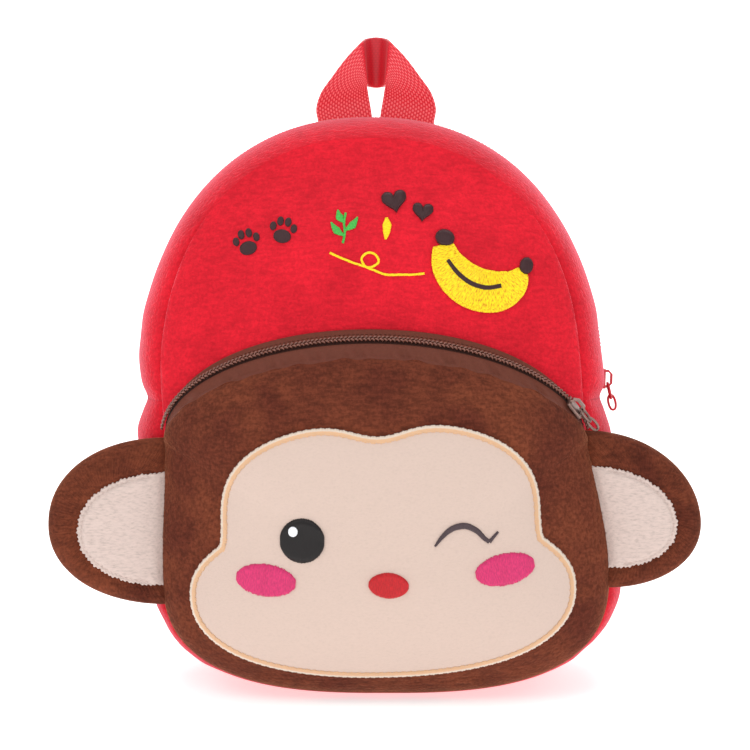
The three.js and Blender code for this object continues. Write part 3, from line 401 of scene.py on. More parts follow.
RIGHT_SEAM = half_seam()
WHOLE_SEAM = np.concatenate([RIGHT_SEAM, RIGHT_SEAM[-2:0:-1] * (-1, 1), RIGHT_SEAM[:1]])
SEAM_LINE = evenly(RIGHT_SEAM, 801)
SEAM_LENGTH = run_of(RIGHT_SEAM)[-1]
SEAM_ALONG = unit(np.gradient(SEAM_LINE, axis=0))


def seam_half(z):
    """Half width of the seam line at a height."""
    return np.interp(z, RIGHT_SEAM[:, 1], RIGHT_SEAM[:, 0])


def reach_of(outline, middle):
    """A function that gives the distance from a middle to an outline in the direction of any place."""
    angle = way_from(outline[:, 0], outline[:, 1], middle)
    order = np.argsort(angle)
    far = away(outline[:, 0], outline[:, 1], middle)[order]
    return lambda x, z: np.interp(way_from(x, z, middle), angle[order], far, period=2 * np.pi)


def swell(share, steep=DOME_STEEP):
    """Height of a dome by share of its reach: (1 - share ** 2.4) ** steep."""
    return (1 - np.clip(share, 0, 1) ** 2.4) ** steep


def near_crown(z):
    """How far a height is into the crown, where the front runs into the gusset without a valley."""
    return smooth((z - CROWN_FROM) / CROWN_OVER)


SEAM_REACH = reach_of(WHOLE_SEAM, BAG_MIDDLE)


def seam_share(x, z):
    """Distance from the bag's middle as a share of the seam line's reach."""
    return away(x, z, BAG_MIDDLE) / SEAM_REACH(x, z)


def front_depth(x, z):
    """Outer depth of the red front at an unleaned place: its rim less a dome, with soft dents."""
    share = seam_share(x, z)
    calm = 1 - smooth((share - 0.72) / 0.28)
    dome = FRONT_CROWN * swell(share, mix(DOME_STEEP, 1.0, near_crown(z)))
    return seam_front(z) - mix(RIM_LIFT, CROWN_LIFT, near_crown(z)) - dome + calm * dents(x, z, FRONT_DENTS)


def back_depth(x, z):
    """Outer depth of the back at an unleaned place."""
    return seam_back(z) + RIM_LIFT + BACK_CROWN * swell(seam_share(x, z))


ARCH_HALF = float(seam_half(POCKET_CORNER))


def above_corner(x, half, rise, power):
    """Height of an arch over the pocket's corners: a superellipse in x."""
    return POCKET_CORNER + rise * (1 - np.minimum(1, np.abs(x) / half) ** power) ** (1 / power)


def arch_height(x):
    """Height of the pocket's top edge."""
    return above_corner(x, ARCH_HALF, POCKET_RISE, ARCH_POWER)


def zip_height(x):
    """Height of the zip's upper edge."""
    return above_corner(x, ARCH_HALF - ZIP_INSET, ZIP_RISE, ZIP_POWER)


def arch_step(x):
    """How far the pocket's top edge stands ahead of the red front."""
    return POCKET_STEP * (1 - np.minimum(1, np.abs(x) / ARCH_HALF) ** 2) ** 0.3


def pocket_outline(count):
    """The pocket's edge: the seam line below its corners and the arch above."""
    turn = np.linspace(0, np.pi, 400)
    x = ARCH_HALF * bowed(np.cos(turn), ARCH_POWER)
    low = RIGHT_SEAM[RIGHT_SEAM[:, 1] < POCKET_CORNER]
    line = np.concatenate([low, np.stack([x, arch_height(x)], 1), low[:0:-1] * (-1, 1), low[:1]])
    return evenly(line, count)


POCKET_REACH = reach_of(pocket_outline(2401)[:-1], POCKET_CENTRE)


def pocket_rim(x, z):
    """Depth of the pocket's edge in the direction of a place: on the seam, or ahead of the red front."""
    far = np.maximum(away(x, z, POCKET_CENTRE), 1e-9)
    reach = POCKET_REACH(x, z)
    edge_x = POCKET_CENTRE[0] + (x - POCKET_CENTRE[0]) * reach / far
    edge_z = POCKET_CENTRE[1] + (z - POCKET_CENTRE[1]) * reach / far
    on_seam = seam_front(edge_z) - RIM_LIFT - GAP - POCKET_WALL
    on_arch = front_depth(edge_x, edge_z) - GAP - POCKET_WALL - arch_step(edge_x)
    return np.where(edge_z < POCKET_CORNER, on_seam, on_arch)


RIM_WAY = np.linspace(-np.pi, np.pi, 1441)[:-1]
RIM_DEPTH = pocket_rim(POCKET_CENTRE[0] + np.cos(RIM_WAY), POCKET_CENTRE[1] + np.sin(RIM_WAY))
RIM_EVEN = np.convolve(
    np.concatenate([RIM_DEPTH[-40:], RIM_DEPTH, RIM_DEPTH[:40]]), np.hanning(83)[1:-1] / np.hanning(83).sum(),
    mode="valid")


def pocket_edge(x, z, share):
    """Depth of the pocket's edge, exact at the edge itself and evened over its corners farther in."""
    even = np.interp(way_from(x, z, POCKET_CENTRE), RIM_WAY, RIM_EVEN, period=2 * np.pi)
    return mix(even, pocket_rim(x, z), smooth((share - 0.5) / 0.5))


def pocket_depth(x, z):
    """Outer depth of the pocket at an unleaned place: a dome from its edge to its deepest point, dented."""
    share = away(x, z, POCKET_CENTRE) / POCKET_REACH(x, z)
    edge = pocket_edge(x, z, share)
    deepest = seam_front(POCKET_CENTRE[1]) - POCKET_CROWN
    calm = smooth((share - 0.5) / 0.25) * (1 - smooth((share - 0.86) / 0.14))
    return edge + (deepest - edge) * swell(share) + calm * dents(x, z, POCKET_DENTS)


def pocket_front(x, z):
    """Outer depth of the pocket at a place with the bag's lean."""
    return pocket_depth(x - lean(z), z)


def red_front(x, z):
    """Outer depth of the red front at a place with the bag's lean."""
    return front_depth(x - lean(z), z)


def leaned(points):
    """Points shifted sideways by the bag's lean at their heights."""
    points = points.copy()
    points[..., 0] += lean(points[..., 2])
    return points


GUSSET_RISE = np.linspace(0, 1, 401)
GUSSET_OUT = np.convolve(
    np.pad(np.interp(GUSSET_RISE, GUSSET_TABLE[:, 0], GUSSET_TABLE[:, 1]), 26, mode="edge"),
    np.hanning(55)[1:-1] / np.hanning(55).sum(), mode="valid")
GUSSET_OUT = GUSSET_OUT - 0.13 * np.exp(-((GUSSET_RISE - 0.508) / 0.022) ** 2)


def seam_values(share, values):
    """Values of the seam line read at a share of its run."""
    return np.interp(share * (len(SEAM_LINE) - 1), np.arange(len(SEAM_LINE)), values)


def gusset_point(run, across, depth):
    """A place on the gusset: along the half seam (below 0 on the left), across from front to back, and down.

    It stands out from the seam by the table's swell times (1 - |2 across - 1| ** 2.6) ** 0.62, a power
    that goes up to 0.95 over the crown, and its underside is pressed flat on the floor.
    """
    run, across, depth = np.broadcast_arrays(run, across, depth)
    share = np.abs(run)
    sign = np.where(run < 0, -1, 1)
    x = sign * seam_values(share, SEAM_LINE[:, 0])
    z = seam_values(share, SEAM_LINE[:, 1])
    out_x = sign * seam_values(share, SEAM_ALONG[:, 1])
    out_z = -seam_values(share, SEAM_ALONG[:, 0])
    full = GUSSET_FULLNESS * np.interp(z / BAG_HEIGHT, GUSSET_RISE, GUSSET_OUT)
    inside = np.clip(1 - np.abs(2 * across - 1) ** 2.6, 0, 1)
    edge = np.minimum(across, 1 - across)
    out = full * inside ** mix(0.62, 0.95, near_crown(z)) - depth
    high = np.maximum(z + out_z * out, depth)
    tuck = np.where(edge < 0, -edge * MIDDLE_DEPTH, 0)
    y = mix(seam_front(z), seam_back(z), np.clip(across, 0, 1))
    return leaned(np.stack([x + out_x * (out - tuck), y, high - out_z * tuck], -1))


def band_point(x, share, lift):
    """A place on the pocket's zip band: across, share from the pocket's edge to the upper edge, and lift."""
    x, share, lift = np.broadcast_arrays(x, share, lift)
    low = arch_height(x)
    high = zip_height(x)
    low_y = front_depth(x, low) - GAP - arch_step(x)
    high_y = front_depth(x, high) - GAP
    across = mix(x + lean(low), x + lean(high), share)
    return np.stack([across, mix(low_y, high_y, share) - lift, mix(low, high, share)], -1)


# Meshes from grids of points
def grid_faces(rows, columns, wrap_rows=False, wrap_columns=False, start=0):
    """Quads of a grid of points, joined round where it wraps."""
    i = np.arange(rows if wrap_rows else rows - 1)[:, None]
    j = np.arange(columns if wrap_columns else columns - 1)[None, :]
    i2 = (i + 1) % rows
    j2 = (j + 1) % columns
    quads = np.stack([i * columns + j, i2 * columns + j, i2 * columns + j2, i * columns + j2], -1)
    return quads.reshape(-1, 4) + start


def outwards(points, quads, triangles):
    """Turns all faces over when the signed volume of the closed shape is negative."""
    halves = np.concatenate([quads[:, :3], quads[:, [0, 2, 3]], triangles])
    a, b, c = points[halves[:, 0]], points[halves[:, 1]], points[halves[:, 2]]
    if np.einsum("ij,ij->", a, np.cross(b, c)) < 0:
        return quads[:, ::-1], triangles[:, ::-1]
    return quads, triangles


def shape(points, quads, triangles=None, uv=None):
    """One closed shape as a dictionary of points, quads, triangles and a pair of pattern coordinates."""
    triangles = np.zeros((0, 3), int) if triangles is None else triangles
    quads, triangles = outwards(points, quads, triangles)
    uv = np.zeros((len(points), 2)) if uv is None else uv.reshape(-1, 2)
    return {"points": points, "quads": quads, "triangles": triangles, "uv": uv}


def slab(outer, inner, wrap=False, uv=None):
    """A wall between two grids of one size, closed round its edges. With wrap, its rows run in a ring."""
    rows, columns = outer.shape[:2]
    points = np.concatenate([outer.reshape(-1, 3), inner.reshape(-1, 3)])
    count = rows * columns
    quads = [grid_faces(rows, columns, wrap), grid_faces(rows, columns, wrap, start=count)[:, ::-1]]
    along = np.arange(rows if wrap else rows - 1)
    after = (along + 1) % rows
    for column, turn in ((0, 1), (columns - 1, -1)):
        low, high = along * columns + column, after * columns + column
        quads.append(np.stack([low, low + count, high + count, high], 1)[:, ::turn])
    if not wrap:
        side = np.arange(columns - 1)
        for row, turn in ((0, -1), (rows - 1, 1)):
            low = row * columns + side
            quads.append(np.stack([low, low + count, low + 1 + count, low + 1], 1)[:, ::turn])
    doubled = None if uv is None else np.concatenate([uv.reshape(-1, 2), uv.reshape(-1, 2)])
    return shape(points, np.concatenate(quads), uv=doubled)


def pad(rings, first, last, uv=None):
    """A closed round shape: rings of points between two single points, one at each end."""
    count, around = rings.shape[:2]
    points = np.concatenate([rings.reshape(-1, 3), [first, last]])
    k = np.arange(around)
    k2 = (k + 1) % around
    end = (count - 1) * around
    caps = np.concatenate([
        np.stack([np.full(around, count * around), k2, k], 1),
        np.stack([np.full(around, count * around + 1), end + k, end + k2], 1)])
    quads = grid_faces(count, around, False, True)[:, ::-1]
    if uv is not None:
        uv = np.concatenate([uv.reshape(-1, 2), uv[0].mean(0)[None], uv[-1].mean(0)[None]])
    return shape(points, quads, caps, uv)


def tube(path, radius, square, sides=10, closed=False, uv_length=None):
    """A round wire carried along a path; square is a direction across it. Open ends close in a point."""
    if closed:
        along = unit(np.roll(path, -1, 0) - np.roll(path, 1, 0))
    else:
        along = unit(np.gradient(path, axis=0))
    side = unit(np.cross(along, square))
    square = np.cross(side, along)
    turn = np.linspace(0, 2 * np.pi, sides, endpoint=False)
    radius = np.broadcast_to(radius, len(path))[:, None, None]
    rings = path[:, None] + radius * (
        square[:, None] * np.cos(turn)[None, :, None] + side[:, None] * np.sin(turn)[None, :, None])
    run = run_of(path)[:, None] + np.zeros(sides)
    uv = np.stack([run, np.zeros(len(path))[:, None] + turn], -1)
    if closed:
        return shape(rings.reshape(-1, 3), grid_faces(len(path), sides, True, True), uv=uv)
    return pad(rings, path[0], path[-1], uv)


def strewn(form, places, first, second, third):
    """Copies of one small shape, each set at a place with its own three axes."""
    points = form["points"]
    moved = (
        places[:, None] + first[:, None] * points[None, :, :1] + second[:, None] * points[None, :, 1:2]
        + third[:, None] * points[None, :, 2:3])
    shift = np.arange(len(places))[:, None, None] * len(points)
    return {
        "points": moved.reshape(-1, 3),
        "quads": (form["quads"][None] + shift).reshape(-1, 4),
        "triangles": (form["triangles"][None] + shift).reshape(-1, 3),
        "uv": np.tile(form["uv"], (len(places), 1)),
    }


def joined(forms):
    """Several shapes as one."""
    whole = {"points": [], "quads": [], "triangles": [], "uv": []}
    start = 0
    for form in forms:
        whole["points"].append(form["points"])
        whole["uv"].append(form["uv"])
        whole["quads"].append(form["quads"] + start)
        whole["triangles"].append(form["triangles"] + start)
        start += len(form["points"])
    return {key: np.concatenate(value) for key, value in whole.items()}


def mesh_of(name, form, wrap_length=None):
    """A Blender mesh in metres with a pattern map; wrap_length is where the map's first value starts again."""
    mesh = bpy.data.meshes.new(name)
    faces = form["quads"].tolist() + form["triangles"].tolist()
    mesh.from_pydata((form["points"] * MM).tolist(), [], faces)
    layer = mesh.uv_layers.new(name="pattern")
    corners = []
    for kind in ("quads", "triangles"):
        uv = form["uv"][form[kind]]
        if wrap_length:
            wide = np.ptp(uv[..., 0], axis=1) > wrap_length / 2 if len(uv) else np.zeros(0, bool)
            uv[..., 0] += wrap_length * (wide[:, None] & (uv[..., 0] < wrap_length / 2))
        corners.append(uv.reshape(-1, 2))
    layer.data.foreach_set("uv", (np.concatenate(corners) * MM).astype(np.float32).ravel())
    mesh.polygons.foreach_set("use_smooth", np.ones(len(faces), bool))
    # calm carries the webbing's painted shade, as a point attribute
    if "calm" in form:
        calm = mesh.attributes.new("calm", "FLOAT", "POINT")
        calm.data.foreach_set("value", form["calm"].astype(np.float32))
    mesh.update()
    return mesh


def settle(piece, material, slot, nodes, body="bag"):
    """Gives a finished piece its material and the body it rides on, and hides the CAD nodes it stands for; slot
    is not used.
    """
    piece.data.materials.clear()
    piece.data.materials.append(material)
    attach(piece, body)
    if nodes:
        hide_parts(*nodes)
    return piece


def add_piece(name, form, material, slot, nodes=(), body="bag", wrap_length=None):
    """A new object at the origin from a shape, dressed and riding on its body."""
    piece = bpy.data.objects.new(name, mesh_of(name, form, wrap_length))
    bpy.context.scene.collection.objects.link(piece)
    return settle(piece, material, slot, nodes, body)


def on_surface(surface, x, z, lift):
    """Points at a lift ahead of a surface that is given by its depth."""
    return np.stack([x, surface(x, z) - lift, z], -1)


# Materials
def add_node(tree, kind, settings=None, inputs=None):
    """Adds one node with its settings and with its sockets set to values or linked to other sockets."""
    node = tree.nodes.new(kind)
    for key, value in (settings or {}).items():
        setattr(node, key, value)
    for key, value in (inputs or {}).items():
        if isinstance(value, bpy.types.NodeSocket):
            tree.links.new(value, node.inputs[key])
        else:
            node.inputs[key].default_value = value
    return node


def start_material(name):
    """An empty node material and its tree."""
    material = bpy.data.materials.new(name)
    material.use_nodes = True
    material.node_tree.nodes.clear()
    return material, material.node_tree


def finish_material(material, sockets):
    """Gives a material its shader with the sockets set or linked, and its output."""
    shader = add_node(material.node_tree, "ShaderNodeBsdfPrincipled", inputs=sockets)
    add_node(material.node_tree, "ShaderNodeOutputMaterial", inputs={"Surface": shader.outputs["BSDF"]})
    return material


def object_place(tree):
    """Coordinates of the piece itself, in metres."""
    return add_node(tree, "ShaderNodeTexCoord").outputs["Object"]


def pattern_place(tree):
    """The piece's pattern map: metres along and across its yarns or threads."""
    return add_node(tree, "ShaderNodeUVMap", {"uv_map": "pattern"}).outputs["UV"]


def pattern_parts(tree, place):
    """The two coordinates of the pattern map apart."""
    split = add_node(tree, "ShaderNodeSeparateXYZ", inputs={"Vector": place})
    return split.outputs["X"], split.outputs["Y"]


def stretched(tree, place, scale, turn=(0.0, 0.0, 0.0)):
    """Coordinates scaled and turned, so that a pattern is drawn out one way."""
    return add_node(tree, "ShaderNodeMapping", inputs={
        "Vector": place, "Rotation": turn, "Scale": scale}).outputs["Vector"]


def noise(tree, place, size, detail=2.0, roughness=0.5, distortion=0.0):
    """Noise whose grain has a real size in metres."""
    return add_node(tree, "ShaderNodeTexNoise", inputs={
        "Vector": place, "Scale": 1 / size, "Detail": detail, "Roughness": roughness,
        "Distortion": distortion}).outputs["Fac"]


def calculated(tree, operation, *values):
    """The result of one Math node on numbers or sockets."""
    return add_node(tree, "ShaderNodeMath", {"operation": operation}, dict(enumerate(values))).outputs["Value"]


def bumped(tree, height, strength, distance, **more):
    """A normal that follows a height."""
    return add_node(tree, "ShaderNodeBump", inputs={
        "Strength": strength, "Distance": distance, "Height": height, **more}).outputs["Normal"]


def shaded(rgba, factor):
    """A colour made lighter or darker by a factor, in linear light."""
    return tuple(min(1.0, c * factor) for c in rgba[:3]) + (1.0,)


def ramp(tree, factor, stops):
    """A colour ramp with its stops given as places and colours."""
    node = add_node(tree, "ShaderNodeValToRGB", inputs={"Fac": factor})
    elements = node.color_ramp.elements
    while len(elements) < len(stops):
        elements.new(0.5)
    for element, (place, rgba) in zip(elements, stops):
        element.position = place
        element.color = rgba
    return node.outputs["Color"]


def plush(name, deep, lit, sheen, contrast, tuft):
    """Plush, a knitted polyester with a short sheared cut pile: dull, with nap that lies down in patches.

    Tufts of the pile give a fine mottle, the nap's lie gives patches of a few centimetres, and light that
    grazes the pile's tips makes a soft lighter rim.
    """
    material, tree = start_material(name)
    place = object_place(tree)
    tufts = noise(tree, stretched(tree, place, (0.75, 1.0, 0.6)), tuft, 3.0, 0.6)
    nap = noise(tree, place, NAP_PATCH, 2.0, 0.5, 0.5)
    broad = ramp(tree, nap, [(0.32, deep), (0.68, lit)])
    streaks = noise(tree, stretched(tree, place, (0.3, 1.0, 1.0), (0.0, 0.35, 0.0)), 1.7 * tuft, 2.0, 0.6)
    both = calculated(tree, "MULTIPLY", tufts, streaks)
    fine = ramp(tree, both, [(0.12, (1 - contrast,) * 3 + (1.0,)), (0.36, (1.0, 1.0, 1.0, 1.0))])
    base = add_node(tree, "ShaderNodeMix", {"data_type": "RGBA", "blend_type": "MULTIPLY"}, {
        0: 1.0, 6: fine, 7: broad})
    bump = bumped(tree, both, 0.9, 0.7 * tuft)
    weight, roughness, tint = sheen
    return finish_material(material, {
        "Base Color": base.outputs[2], "Roughness": 0.92, "Specular IOR Level": 0.15, "Sheen Weight": weight,
        "Sheen Roughness": roughness, "Sheen Tint": tint,
        "Normal": bumped(tree, nap, 0.5, 0.0009, Normal=bump)})


def velour(name, rgba, fibre, stretch, contrast):
    """Brushed tricot velour: a fine short nap whose fibres lie one way and show as faint dashes."""
    material, tree = start_material(name)
    fibres = noise(tree, stretched(tree, object_place(tree), stretch), fibre, 3.0, 0.65)
    base = ramp(tree, fibres, [
        (0.3, shaded(rgba, 1 - contrast)), (0.48, rgba), (0.7, shaded(rgba, 1 + 0.5 * contrast))])
    return finish_material(material, {
        "Base Color": base, "Roughness": 0.9, "Specular IOR Level": 0.2, "Sheen Weight": 0.3,
        "Sheen Roughness": 0.5, "Normal": bumped(tree, fibres, 0.4, 0.4 * fibre)})


def satin_thread(name, rgba, pitch, deep=None):
    """Trilobal polyester embroidery thread laid side by side: soft gloss, each thread lighter or darker."""
    material, tree = start_material(name)
    strands = noise(tree, stretched(tree, pattern_place(tree), (1.0, 0.26, 1.0)), pitch, 2.0, 0.6)
    base = ramp(tree, strands, [(0.34, deep or shaded(rgba, 0.8)), (0.5, rgba), (0.7, shaded(rgba, 1.2))])
    return finish_material(material, {
        "Base Color": base, "Roughness": 0.38, "Specular IOR Level": 0.3, "Sheen Weight": 0.04,
        "Normal": bumped(tree, strands, 0.25, 0.25 * pitch)})


def border_thread(name, outer, inner, pitch, width):
    """Satin stitch, pale along its outer edge and tan inside, blended across the border's width."""
    material, tree = start_material(name)
    place = pattern_place(tree)
    across = calculated(tree, "DIVIDE", pattern_parts(tree, place)[1], width)
    strands = noise(tree, stretched(tree, place, (1.0, 0.25, 1.0)), pitch, 2.0, 0.7)
    uneven = calculated(tree, "MULTIPLY_ADD", strands, 0.5, across)
    base = ramp(tree, uneven, [(0.35, shaded(inner, 0.92)), (0.84, inner), (0.96, shaded(outer, 0.96))])
    return finish_material(material, {
        "Base Color": base, "Roughness": 0.6, "Specular IOR Level": 0.3, "Sheen Weight": 0.25,
        "Normal": bumped(tree, strands, 0.4, 0.25 * pitch)})


def woven(name, rgba, gloss, contrast):
    """Woven polyester yarn: rounded yarns with dark crossings, counted by the pattern map in real pitches."""
    material, tree = start_material(name)
    place = pattern_place(tree)
    waves = [
        calculated(tree, "SINE", calculated(tree, "MULTIPLY", part, 2 * np.pi / pitch))
        for part, pitch in zip(pattern_parts(tree, place), (YARN_ALONG, YARN_ACROSS))]
    even = calculated(tree, "MULTIPLY_ADD", calculated(tree, "MULTIPLY", *waves), 0.35, 0.5)
    fuzz = noise(tree, place, 2.2 * YARN_ACROSS, 3.0, 0.6)
    base = ramp(tree, calculated(tree, "MULTIPLY", even, fuzz), [
        (0.08, shaded(rgba, 1 - contrast)), (0.26, rgba), (0.44, shaded(rgba, 1 + contrast))])
    return finish_material(material, {
        "Base Color": base, "Roughness": gloss, "Specular IOR Level": 0.2, "Sheen Weight": 0.02,
        "Normal": bumped(tree, even, 0.5, 0.2 * YARN_ACROSS)})


def webbing_weave(name, rgba, across, along):
    """Polypropylene webbing: staggered oval grains of yarn, with a painted highlight on each grain's top and
    painted shade between them; where the calm attribute is high the grain is hidden and the colour drops to the
    darker stops, painted shade.
    """
    material, tree = start_material(name)
    run, wide = pattern_parts(tree, pattern_place(tree))
    columns = calculated(tree, "DIVIDE", wide, across)
    rows = calculated(tree, "DIVIDE", run, along)
    shifted = calculated(tree, "MULTIPLY_ADD", calculated(tree, "FLOOR", columns), 0.5, rows)
    humps = [
        calculated(tree, "SINE", calculated(tree, "MULTIPLY", calculated(tree, "FRACT", part), np.pi))
        for part in (columns, shifted)]
    # calm: painted shade where the loop's middle is set back
    calm = add_node(tree, "ShaderNodeAttribute", {"attribute_name": "calm"}).outputs["Fac"]
    shown = calculated(tree, "MULTIPLY", humps[0], calculated(tree, "SUBTRACT", 1.0, calm))
    # pale: painted highlight on the tops of the grains; the darker stops below are painted shade between them
    pale = tuple(mix(a, b, 0.42) for a, b in zip(rgba, linear("#FFA3A6")))
    base = ramp(tree, calculated(tree, "MULTIPLY", shown, humps[1]), [
        (0.0, shaded(rgba, 0.64)), (0.1, shaded(rgba, 0.84)), (0.4, rgba), (0.8, pale)])
    return finish_material(material, {
        "Base Color": base, "Roughness": 0.42, "Specular IOR Level": 0.5, "Sheen Weight": 0.1})


def moulded(name, rgba, roughness, metallic, speck, coat):
    """Moulded nylon, painted or plated metal: smooth with a slight orange peel and small worn specks."""
    material, tree = start_material(name)
    wear = noise(tree, object_place(tree), speck, 4.0, 0.6)
    base = ramp(tree, wear, [(0.35, shaded(rgba, 0.85)), (0.55, rgba), (0.72, shaded(rgba, 1.25))])
    rough = ramp(tree, wear, [
        (0.3, (roughness * 0.8,) * 3 + (1.0,)), (0.7, (min(1.0, roughness * 1.3),) * 3 + (1.0,))])
    return finish_material(material, {
        "Base Color": base, "Roughness": rough, "Metallic": metallic, "Coat Weight": coat,
        "Coat Roughness": 0.2, "Normal": bumped(tree, wear, 0.15, 0.00005)})


def painted_floor(name, rgba):
    """Matt studio paper: pale, with the faintest cloud of tone."""
    material, tree = start_material(name)
    cloud = noise(tree, object_place(tree), 1 / 3)
    return finish_material(material, {
        "Base Color": ramp(tree, cloud, [(0.3, shaded(rgba, 0.985)), (0.7, rgba)]), "Roughness": 0.95,
        "Specular IOR Level": 0.1, "Emission Color": rgba, "Emission Strength": 0.62})


def get_material(name):
    """The named finish, made on first use from the scene's colours and sizes."""
    if name in bpy.data.materials:
        return bpy.data.materials[name]
    colours = bpy.context.scene.backpack_colours
    sizes = bpy.context.scene.backpack_sizes
    tone = {key: tuple(getattr(colours, key)) for key in BackpackColours.__annotations__}
    pile, thread = sizes.pile, sizes.thread
    makers = {
        "cut_pile_plush_red": lambda: plush(
            name, shaded(tone["red_plush"], 0.86), shaded(tone["red_plush"], 1.06),
            (1.0, 0.36, linear("#FF98A8")), 0.28, pile),
        "cut_pile_plush_brown": lambda: plush(
            name, shaded(tone["brown_plush"], 0.84), tone["brown_lit"], (0.8, 0.3, linear("#D08C66")), 0.5,
            pile),
        # Ears: the brown plush with its dark end at 0.7 of the brown instead of 0.84, painted shade for the
        # hollows of the padded ears
        "cut_pile_plush_brown_ribbed": lambda: plush(
            name, shaded(tone["brown_plush"], 0.7), tone["brown_lit"], (0.6, 0.34, linear("#D08A68")), 0.5,
            pile),
        "tricot_velour_face": lambda: velour(name, tone["face"], VELOUR_FIBRE, (0.5, 1.0, 1.0), 0.05),
        "tricot_velour_ear": lambda: velour(name, tone["ear"], VELOUR_FIBRE, (0.28, 1.0, 1.0), 0.2),
        "satin_thread_border": lambda: border_thread(
            name, tone["border"], tone["border_shade"], thread, sizes.border),
        "satin_thread_fill": lambda: satin_thread(name, tone["yellow"], thread, linear("#D98F10")),
        "woven_tape_brown": lambda: woven(name, tone["brown_tape"], 0.7, 0.16),
        "woven_tape_red": lambda: woven(name, tone["red_tape"], 0.7, 0.16),
        # The cords inside the coils: the coil colour darkened to 0.2 and 0.5, painted shade between the coil's
        # turns and along its edges
        "woven_cord_brown": lambda: woven(name, shaded(tone["brown_coil"], 0.2), 0.8, 0.1),
        "woven_cord_red": lambda: woven(name, shaded(tone["red_coil"], 0.5), 0.8, 0.1),
        "woven_webbing_red": lambda: webbing_weave(
            name, tone["webbing"], sizes.weave_across, sizes.weave_along),
        "nylon_coil_brown": lambda: moulded(name, tone["brown_coil"], 0.3, 0.0, 0.002, 0.35),
        "nylon_coil_red": lambda: moulded(name, tone["red_coil"], 0.32, 0.0, 0.002, 0.3),
        "plated_zinc_pewter": lambda: moulded(name, tone["pewter"], 0.36, 0.85, 0.0012, 0.0),
        "painted_zinc_red": lambda: moulded(name, tone["red_paint"], 0.3, 0.2, 0.0015, 0.4),
        "moulded_acetal_red": lambda: moulded(name, tone["red_plastic"], 0.35, 0.0, 0.002, 0.1),
        "studio_paper": lambda: painted_floor(name, tone["floor"]),
    }
    if name in makers:
        return makers[name]()
    return satin_thread(name, tone[name.removeprefix("satin_thread_")], thread)


# Shells of the bag
def shell(outline, middle, surface, rings, roll, facing, wall):
    """A closed cloth shell: rings out to the outline, a quarter round turned in at the seam, and the lining.

    outline is in the plane of the front, surface gives the depth at a place, facing is -1 for a front and 1
    for a back. Near the seam the cloth puckers a little. The turned edge's inset is roll times 1 - cos,
    less over the crown, and its depth roll times sin.
    """
    shares = outward(rings, 1.7)
    x, z = fan(middle, outline, shares)
    reach = away(outline[:, 0], outline[:, 1], middle)
    near = np.exp(-((1 - shares) * reach[None]) / PUCKER_REACH) * (1 - shares ** 40)
    calm = 1 - 0.8 * smooth((outline[:, 1] - 180) / 40)
    y = surface(x, z) + facing * near * ripple(run_round(outline), PUCKER)[None] * calm
    outer = np.stack([x, y, z], -1)
    turn = np.linspace(0, np.pi / 2, 7)[1:]
    rolled = roll * (1 - 0.85 * near_crown(outline[:, 1]))[None]
    inset = 1 - rolled * (1 - np.cos(turn))[:, None] / reach[None]
    rim_y = surface(outline[:, 0], outline[:, 1])
    turned_x, turned_z = fan(middle, outline, inset)
    turned_in = np.stack([turned_x, rim_y[None] - facing * roll * np.sin(turn)[:, None], turned_z], -1)
    lining_x, lining_z = fan(middle, outline, np.linspace(inset[-1].min() - 0.02, 0.04, 16)[:, None])
    lining = np.stack([lining_x, surface(lining_x, lining_z) - facing * wall, lining_z], -1)
    centre_y = float(surface(np.array(middle[0] + 1e-6), np.array(middle[1])))
    first = np.array([middle[0], centre_y, middle[1]])
    last = np.array([middle[0], centre_y - facing * wall, middle[1]])
    return pad(leaned(np.concatenate([outer, turned_in, lining])), leaned(first), leaned(last))


def build_panels(sizes):
    """The red front and back and the brown pocket, each a domed shell inside its seam."""
    roll = sizes.seam_roll / MM
    seam = evenly(WHOLE_SEAM, 433)[:-1]
    pocket = pocket_outline(481)[:-1]
    on_arch = smooth((pocket[:, 1] - POCKET_CORNER) / 14)
    pocket[:, 1] += 0.5 * on_arch * ripple(pocket[:, 0], ARCH_WAVES)
    for name, outline, middle, surface, rings, turn, facing, wall, material, slot, node in (
            ("main_front", seam, BAG_MIDDLE, front_depth, 84, roll, -1, PLUSH_WALL, "cut_pile_plush_red",
             "red_plush", "front_panel"),
            ("main_back", seam, BAG_MIDDLE, back_depth, 70, roll, 1, PLUSH_WALL, "cut_pile_plush_red",
             "red_plush", "back_panel"),
            ("pocket_front", pocket, POCKET_CENTRE, pocket_depth, 92, min(roll, 2.2), -1, POCKET_WALL,
             "cut_pile_plush_brown", "brown_plush", "pocket_panel")):
        cloth = shell(outline, middle, surface, rings, turn, facing, wall)
        add_piece(name, cloth, get_material(material), slot, [node])


